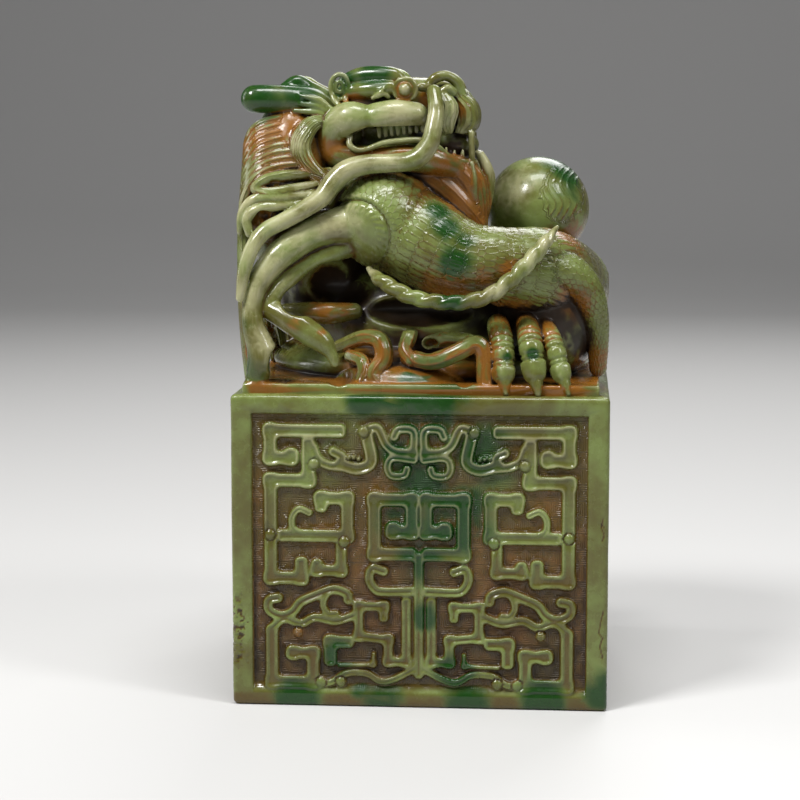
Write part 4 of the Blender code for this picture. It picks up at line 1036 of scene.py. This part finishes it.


# Colour

# (across, deep, up from the underside, reach) in millimetres of places that are deep green, rusty,
# pale and nearly black: the pale places are mostly painted highlights, the nearly black ones painted shade
STAINS_AND_PAINTED_LIGHT = {
    "deep": [
        (2, -30, 49, 9), (-8, -30, 50, 4), (0, -30, 37, 8), (5, -30, 31, 8), (-3, -30, 31, 7),
        (0, -30, 25, 6), (10, -30, 42, 7), (-13, -30, 8, 4), (1, -30, 15, 3), (6, -30, 6, 4),
        (-9, -30, 3, 3), (29, -30, 3, 4), (-4, -30, 41, 4), (30, -10, 40, 12), (30, 16, 12, 9),
        (-30, 5, 30, 10), (-30, -18, 10, 6), (4, 30, 34, 13), (-16, 30, 12, 8), (-20, -30, 1, 5),
        (-6, -30, 1, 5), (8, -30, 1, 5), (20, -30, 1, 5), (-27, -16, 97, 6), (-21, -15, 98, 5),
        (-8, -15, 101, 4), (-13, -13, 99, 4), (5, -28, 65.5, 4), (1.4, -21, 83, 3), (7, -25, 75, 3),
        (5.5, -25.5, 71, 4), (22, 1, 84, 6), (19, 6, 87, 6), (-26, -26, 55, 4), (-27, -26, 61, 2.5),
        (3, -22, 80, 3.5), (4, -24, 77, 3.5), (-2, -26.5, 53, 2.5), (14, -27.5, 56.5, 1.3),
        (17.8, -28, 57, 1.3), (20, 14, 70, 9), (-12, 22, 68, 8), (-20, 6, 84, 8), (24, -14, 64, 3),
    ],
    "rust": [
        (-22, -17, 92, 5), (-27, -17, 89, 5), (-24, -18, 85, 5), (-26, -21, 80, 4), (-18, -19, 86, 3),
        (-15, -17, 89, 3), (-9, -18, 87.5, 3), (-3, -18, 88, 3), (2, -16, 86.5, 3.5), (0, -21, 55, 9),
        (-8, -21, 56, 6), (9, -24, 54, 6), (-14, -18, 65, 7), (7, -13, 84, 4.5), (4, -14, 88, 3.5),
        (10, -12, 78, 5), (-18, -22, 60, 6), (14, -20, 62, 5), (20, -22, 60, 5), (22, -15, 74, 4),
        (-27, -20, 66, 4), (12, 4, 76, 5), (22, 0, 75, 5), (0, 24, 56, 10), (-16, 24, 58, 8),
        (-28, -4, 62, 8), (28, 6, 60, 8), (-22, 6, 74, 6), (-10, 12, 76, 6), (4, -22, 66, 6),
        (-2, -17, 80, 4), (-12, -16, 96.5, 2.5), (0, -14, 97, 2), (6, -12, 95, 2), (-25, -22, 77, 3),
        (-7, -25, 57, 4), (-3, -25, 57, 4), (2, -26, 55, 4), (5, -26, 57, 4), (10, -26, 57, 4),
        (12, -24, 60, 2.5), (17, -25, 60.5, 2.5), (20.5, -24, 60, 2.5), (-16, -19, 63, 5),
        (10, -26, 68, 2.5), (5, -26.5, 67.2, 1.8), (14, -25, 69.8, 2.2), (-7, -25, 68.5, 2),
        (5, -15.5, 80, 4.5), (8, -14, 77, 4), (1, -14, 84, 4), (-3.2, -17.5, 98.3, 2.4),
        (-28.6, -24, 64, 1.6), (-28.4, -24, 60, 1.6), (-27.9, -24, 56, 1.8), (-20, -27, 61.5, 2.5),
        (-15.5, -27.5, 60, 1.8), (24, -19, 64, 4), (28, -15, 54, 5),
    ],
    # Pale: mostly painted highlights where the lamps catch the whiskers, lips, arm, fin and pearl, and the
    # pale eyeball
    "pale": [
        (-13, -18, 93, 3.5), (-4, -19, 94.5, 4), (1, -19, 93, 3), (1, -20, 88, 2.5), (-6, -22, 87, 3),
        (-12, -22, 86, 3.5), (-17, -23, 81, 3.5), (-22, -25, 78, 3.5), (-26, -26, 73, 3.5),
        (-28, -27, 66, 3.5), (-21, -20, 90, 2.5), (-20, -24, 76, 4), (-13, -22, 78, 4), (-24, -26, 70, 4),
        (-15, -23, 77, 4), (-27, -27, 66, 3), (4, -14, 94, 3), (17, -27, 72.5, 2.5), (20, -25, 75, 2.5),
        (-9, -22, 69, 2), (12, -28, 67, 1.8), (14, -3, 82, 4), (-24, -28, 59, 3), (-29.5, -19, 80, 3),
        (-28, -24, 80, 3), (-3.2, -18, 98.3, 0.9), (9, -11, 86, 2.5),
    ],
    # Painted shade, nearly black: under the belly and torso, between the toes and inside the mouth
    "painted_shade": [
        (-14, -14, 66, 8), (-8, -16, 64, 7), (0, -17, 62, 7), (7, -17, 62, 6), (-19, -15, 64, 6),
        (-20, -19, 56, 5), (-24, -13, 64, 6), (-5, -18, 60, 6), (9, -19, 61, 5), (0, -20.5, 58.5, 5),
        (3, -20, 60, 5), (13, -17, 60, 6), (18, -18, 62, 5), (22, -18.5, 61, 6), (25, -17.5, 58, 5),
        (15.2, -22, 56, 3), (20, -22, 56, 2.5), (10.3, -23, 55, 2.5), (-8, -17, 91, 2.2),
        (-2, -16, 91.5, 2.2), (4, -12, 89.5, 3), (7, -9.5, 89.5, 4), (23, 4, 79, 5),
    ],
}


def blots(points, spots):
    """Soft blots round some places."""
    total = np.zeros(len(points))
    for across, deep, up, reach in spots:
        away = ((points * 1000 - (across, deep, up)) ** 2).sum(1)
        total = np.maximum(total, np.exp(-away / reach**2))
    return total


def finish_knob(made):
    points = points_of(made)
    ledge = 1 - ease(points[:, 2] * 1000, 51.9, 52.6)
    for name, places in STAINS_AND_PAINTED_LIGHT.items():
        give(made, name, np.maximum(blots(points, places), 0.9 * ledge * (name == "rust")))


class Paint:
    """A node material, built up step by step."""

    def __init__(self, name):
        self.material = bpy.data.materials.new(name)
        self.material.use_nodes = True
        self.nodes = self.material.node_tree.nodes
        self.links = self.material.node_tree.links
        self.shader = self.nodes["Principled BSDF"]
        self.place = self.nodes.new("ShaderNodeTexCoord").outputs["Object"]

    def feed(self, socket, value):
        if isinstance(value, bpy.types.NodeSocket):
            self.links.new(value, socket)
        else:
            socket.default_value = value

    def number(self, attribute):
        made = self.nodes.new("ShaderNodeAttribute")
        made.attribute_name = attribute
        return made.outputs["Fac"]

    def noise(self, scale, detail=3.0, roughness=0.55, distortion=0.0):
        made = self.nodes.new("ShaderNodeTexNoise")
        self.feed(made.inputs["Vector"], self.place)
        for name, value in (("Scale", scale), ("Detail", detail), ("Roughness", roughness),
                            ("Distortion", distortion)):
            made.inputs[name].default_value = value
        return made.outputs["Fac"]

    def math(self, operation, *values):
        made = self.nodes.new("ShaderNodeMath")
        made.operation = operation
        for socket, value in zip(made.inputs, values):
            self.feed(socket, value)
        return made.outputs[0]

    def sum(self, *terms):
        """The sum of (weight, value) terms and plain numbers."""
        total = 0.0
        for term in terms:
            if isinstance(term, tuple):
                total = self.math("MULTIPLY_ADD", term[1], term[0], total)
            else:
                total = self.math("ADD", total, term)
        return total

    def ease(self, value, first, last, low=0.0, high=1.0):
        made = self.nodes.new("ShaderNodeMapRange")
        made.interpolation_type = "SMOOTHSTEP"
        for name, given in (("Value", value), ("From Min", first), ("From Max", last), ("To Min", low),
                            ("To Max", high)):
            self.feed(made.inputs[name], given)
        return made.outputs[0]

    def mix(self, share, first, second):
        made = self.nodes.new("ShaderNodeMix")
        made.data_type = "RGBA"
        for number, value in ((0, share), (6, first), (7, second)):
            self.feed(made.inputs[number], value)
        return made.outputs[2]


CELADON = (0.166, 0.214, 0.058, 1)
OLIVE = (0.095, 0.088, 0.018, 1)
DEEP_GREEN = (0.008, 0.046, 0.004, 1)
RUST = (0.215, 0.080, 0.009, 1)
BROWN = (0.085, 0.052, 0.007, 1)
# Near black, the colour of painted shade
SHADE_UMBER = (0.010, 0.004, 0.001, 1)
# Cream, for worn edges and painted highlights
CREAM = (0.440, 0.420, 0.240, 1)
# The squared spirals of the ground: how far apart, in millimetres, and how many rings each has
CELL = 2.6
RINGS = 4.0


def key_lines(paint):
    """Fine squared spirals over the sunk ground, in millimetres along the face and up."""
    split = paint.nodes.new("ShaderNodeSeparateXYZ")
    paint.feed(split.inputs[0], paint.place)
    up = paint.math("MULTIPLY", split.outputs["Z"], 1000 / CELL)
    row = paint.math("FLOOR", up)
    shift = paint.math("MULTIPLY", paint.math("MODULO", row, 2.0), 0.5)
    across = paint.math("ADD", paint.math("MULTIPLY", paint.number("run"), 1 / CELL), shift)
    a = paint.math("SUBTRACT", paint.math("FRACT", paint.math("ADD", across, 50.0)), 0.5)
    b = paint.math("SUBTRACT", paint.math("FRACT", up), 0.5)
    ring = paint.math("MAXIMUM", paint.math("ABSOLUTE", a), paint.math("ABSOLUTE", b))
    angle = paint.math("ARCTAN2", b, a)
    return paint.math("SINE", paint.math("MULTIPLY_ADD", ring, 4 * math.pi * RINGS, angle))


def scale_pattern(paint):
    """The scales' height, as in fish_scales, and how near each place is to its scale's edge."""
    column, row = paint.number("column"), paint.number("row")
    height, edge = 0.0, 0.0
    for ahead in (1, 0, -1):
        middle = paint.math("ADD", paint.math("FLOOR", row), float(ahead))
        shift = paint.math("MULTIPLY", paint.math("FLOORED_MODULO", middle, 2.0), 0.5)
        part = paint.math("FRACT", paint.math("ADD", paint.math("SUBTRACT", column, shift), 0.5))
        aside = paint.math("MULTIPLY", paint.math("SUBTRACT", part, 0.5), 1 / SCALE_WIDE)
        along = paint.math("MULTIPLY", paint.math("SUBTRACT", row, middle), 1 / SCALE_LONG)
        radius = paint.math("POWER", paint.sum((1.0, paint.math("MULTIPLY", aside, aside)),
                                               (1.0, paint.math("MULTIPLY", along, along))), 0.5)
        inside = paint.math("LESS_THAN", radius, 1.0)
        rim = paint.math("POWER", radius, 5.0)
        lift = paint.math("MULTIPLY_ADD", paint.math("MAXIMUM", along, 0.0), 0.65, 0.35)
        own = paint.math("MULTIPLY", lift, paint.math("MULTIPLY_ADD", rim, -0.8, 1.0))
        outside = paint.math("SUBTRACT", 1.0, inside)
        height = paint.math("MULTIPLY_ADD", outside, height, paint.math("MULTIPLY", inside, own))
        edge = paint.math("MULTIPLY_ADD", outside, edge, paint.math("MULTIPLY", inside, rim))
    scaly = paint.ease(paint.math("ADD", paint.math("ABSOLUTE", column), row), 0.0, 0.05)
    return paint.math("MULTIPLY", height, scaly), paint.math("MULTIPLY", edge, scaly)


def hair_pattern(paint, waver):
    """Narrow grooves between the marked lines of hair, 0 to 1."""
    hair = paint.number("hair")
    turn = paint.math("MULTIPLY", paint.sum((1.0, hair), (1.2, waver)), 2 * math.pi)
    groove = paint.math("POWER", paint.math("MULTIPLY_ADD", paint.math("COSINE", turn), 0.5, 0.5), 3.0)
    return paint.math("MULTIPLY", groove, paint.ease(paint.math("ABSOLUTE", hair), 0.0, 0.05))


def stone():
    paint = Paint("carved green stone")
    crease, hollow_shade, ground = (paint.number(name) for name in ("crease", "hollow_shade", "ground"))
    deep, rust, pale, shade_blots = (paint.number(name) for name in STAINS_AND_PAINTED_LIGHT)
    broad, middling = paint.noise(75, 3.0, 0.5, 0.6), paint.noise(300, 4.0, 0.6)
    fine = paint.noise(1300, 3.0, 0.6)
    scales, edge = scale_pattern(paint)
    groove = hair_pattern(paint, broad)

    # The stone itself, from olive to celadon, with deep green patches, and cream on convex edges and pale
    # places, partly wear and partly painted highlight
    cloud = paint.ease(paint.sum((0.7, broad), (0.4, middling)), 0.42, 0.72)
    green = paint.ease(paint.sum((1.0, deep), (1.1, broad), (0.45, middling)), 1.12, 1.62)
    # Cream on convex edges and pale places: partly wear, partly painted highlight
    wear_and_painted_highlight = paint.ease(paint.sum((-0.8, crease), (0.9, pale), (0.5, middling)), 0.4, 1.5, 0.0, 0.75)
    colour = paint.mix(cloud, OLIVE, CELADON)
    colour = paint.mix(green, colour, DEEP_GREEN)
    colour = paint.mix(wear_and_painted_highlight, colour, CREAM)

    # Rusty soil in the creases and hollows, and painted shade: browner towards the block's foot, and near
    # black in the deepest creases and hollows, hair grooves, scale edges and shade blots
    soil_and_shade = paint.sum((1.1, crease), (0.7, hollow_shade), (1.2, rust), (0.9, middling), (-0.75, green),
                       (0.5, edge), (0.45, groove), (-0.5, pale))
    rusty = paint.ease(paint.sum((1.0, rust), (0.7, middling), (0.5, fine)), 0.75, 1.5)
    # Painted shade, near black, in deep creases and hollows, hair grooves, scale edges and shade blots
    painted_shade = paint.ease(paint.sum((0.9, crease), (1.0, hollow_shade), (1.5, shade_blots), (0.25, fine), (0.4, groove),
                                (0.2, edge)), 0.75, 1.45, 0.0, 0.93)
    colour = paint.mix(paint.ease(soil_and_shade, 0.62, 1.25, 0.0, 0.93), colour, paint.mix(rusty, BROWN, RUST))
    colour = paint.mix(painted_shade, colour, SHADE_UMBER)

    roughness = paint.sum((0.25, paint.ease(middling, 0.3, 0.7)), (0.3, painted_shade), 0.13)
    paint.feed(paint.shader.inputs["Base Color"], colour)
    paint.feed(paint.shader.inputs["Roughness"], roughness)
    for name, value in (("IOR", 1.55), ("Specular IOR Level", 0.32), ("Coat Weight", 0.22),
                        ("Coat Roughness", 0.06), ("Subsurface Weight", 0.12),
                        ("Subsurface Radius", (0.8, 1.0, 0.4)), ("Subsurface Scale", 0.0012)):
        paint.shader.inputs[name].default_value = value
    bump = paint.nodes.new("ShaderNodeBump")
    bump.inputs["Strength"].default_value = 0.7
    bump.inputs["Distance"].default_value = 0.0001
    height = paint.sum((0.5, paint.math("MULTIPLY", key_lines(paint), ground)), (0.35, fine),
                       (0.3, middling), (2.6, scales), (-1.8, groove))
    paint.feed(bump.inputs["Height"], height)
    paint.feed(paint.shader.inputs["Normal"], bump.outputs["Normal"])
    return paint.material


# The studio

CAMERA_PLACE = (0.0239, -0.3699, 0.0934)
CAMERA_DOWN = 7.3
CAMERA_TURN = 4.52
AIM = Vector((0, 0, 0.06))
# (place, power, width, height) of the soft lights, in metres and watts
LIGHTS = (
    ((-0.26, -0.30, 0.50), 3.1, 0.15, 0.15),
    ((0.34, -0.22, 0.42), 1.0, 0.10, 0.20),
    ((0.02, -0.12, 0.56), 1.8, 0.24, 0.12),
    ((0.10, 0.45, 0.45), 1.4, 0.30, 0.30),
    ((-0.55, 0.05, 0.25), 0.8, 0.12, 0.40),
)


def placed(name, data, place, turn=(0, 0, 0)):
    made = bpy.data.objects.new(name, data)
    made.location, made.rotation_euler = place, turn
    bpy.context.scene.collection.objects.link(made)
    return made


def studio_light(place, power, width, height):
    made = bpy.data.lights.new("softbox", "AREA")
    made.shape = "RECTANGLE"
    made.energy, made.size, made.size_y = power, width, height
    placed("softbox", made, place, (AIM - Vector(place)).to_track_quat("-Z", "Y").to_euler())


def floor():
    """A pale floor that sweeps up behind."""
    turn = np.radians(np.linspace(0, 90, 13))
    along = np.concatenate([[-2], 0.7 + 0.5 * np.sin(turn), [1.2]])
    up = np.concatenate([[0], 0.5 - 0.5 * np.cos(turn), [2.5]])
    edges = [np.stack([np.full(len(along), side), along, up], 1) for side in (-2.5, 2.5)]
    left = np.arange(len(along) - 1)
    right = left + len(along)
    quads = np.stack([left, right, right + 1, left + 1], 1)
    sheet = placed("floor", mesh_from("floor", np.concatenate(edges), quads, 4), (0, 0, 0))
    sheet.data.shade_smooth()
    pale = Paint("pale floor")
    pale.shader.inputs["Base Color"].default_value = (0.56, 0.555, 0.545, 1)
    pale.shader.inputs["Roughness"].default_value = 0.55
    sheet.data.materials.append(pale.material)


def studio():
    """A camera that looks as the photograph does, the floor and soft light."""
    lens = bpy.data.cameras.new("camera")
    lens.lens, lens.sensor_width = 98.3, 36
    turn = math.radians(90 - CAMERA_DOWN), 0, math.radians(CAMERA_TURN)
    bpy.context.scene.camera = placed("camera", lens, CAMERA_PLACE, turn)
    floor()
    for light in LIGHTS:
        studio_light(*light)
    world = bpy.data.worlds.new("studio")
    bpy.context.scene.world = world
    world.use_nodes = True
    world.node_tree.nodes["Background"].inputs["Color"].default_value = (0.12, 0.12, 0.124, 1)
    bpy.context.scene.view_settings.view_transform = "Standard"


finish = stone()
for piece in (block(), knob()):
    piece.data.materials.append(finish)
    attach(piece, "root")
    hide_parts("dragon_seal")
studio()
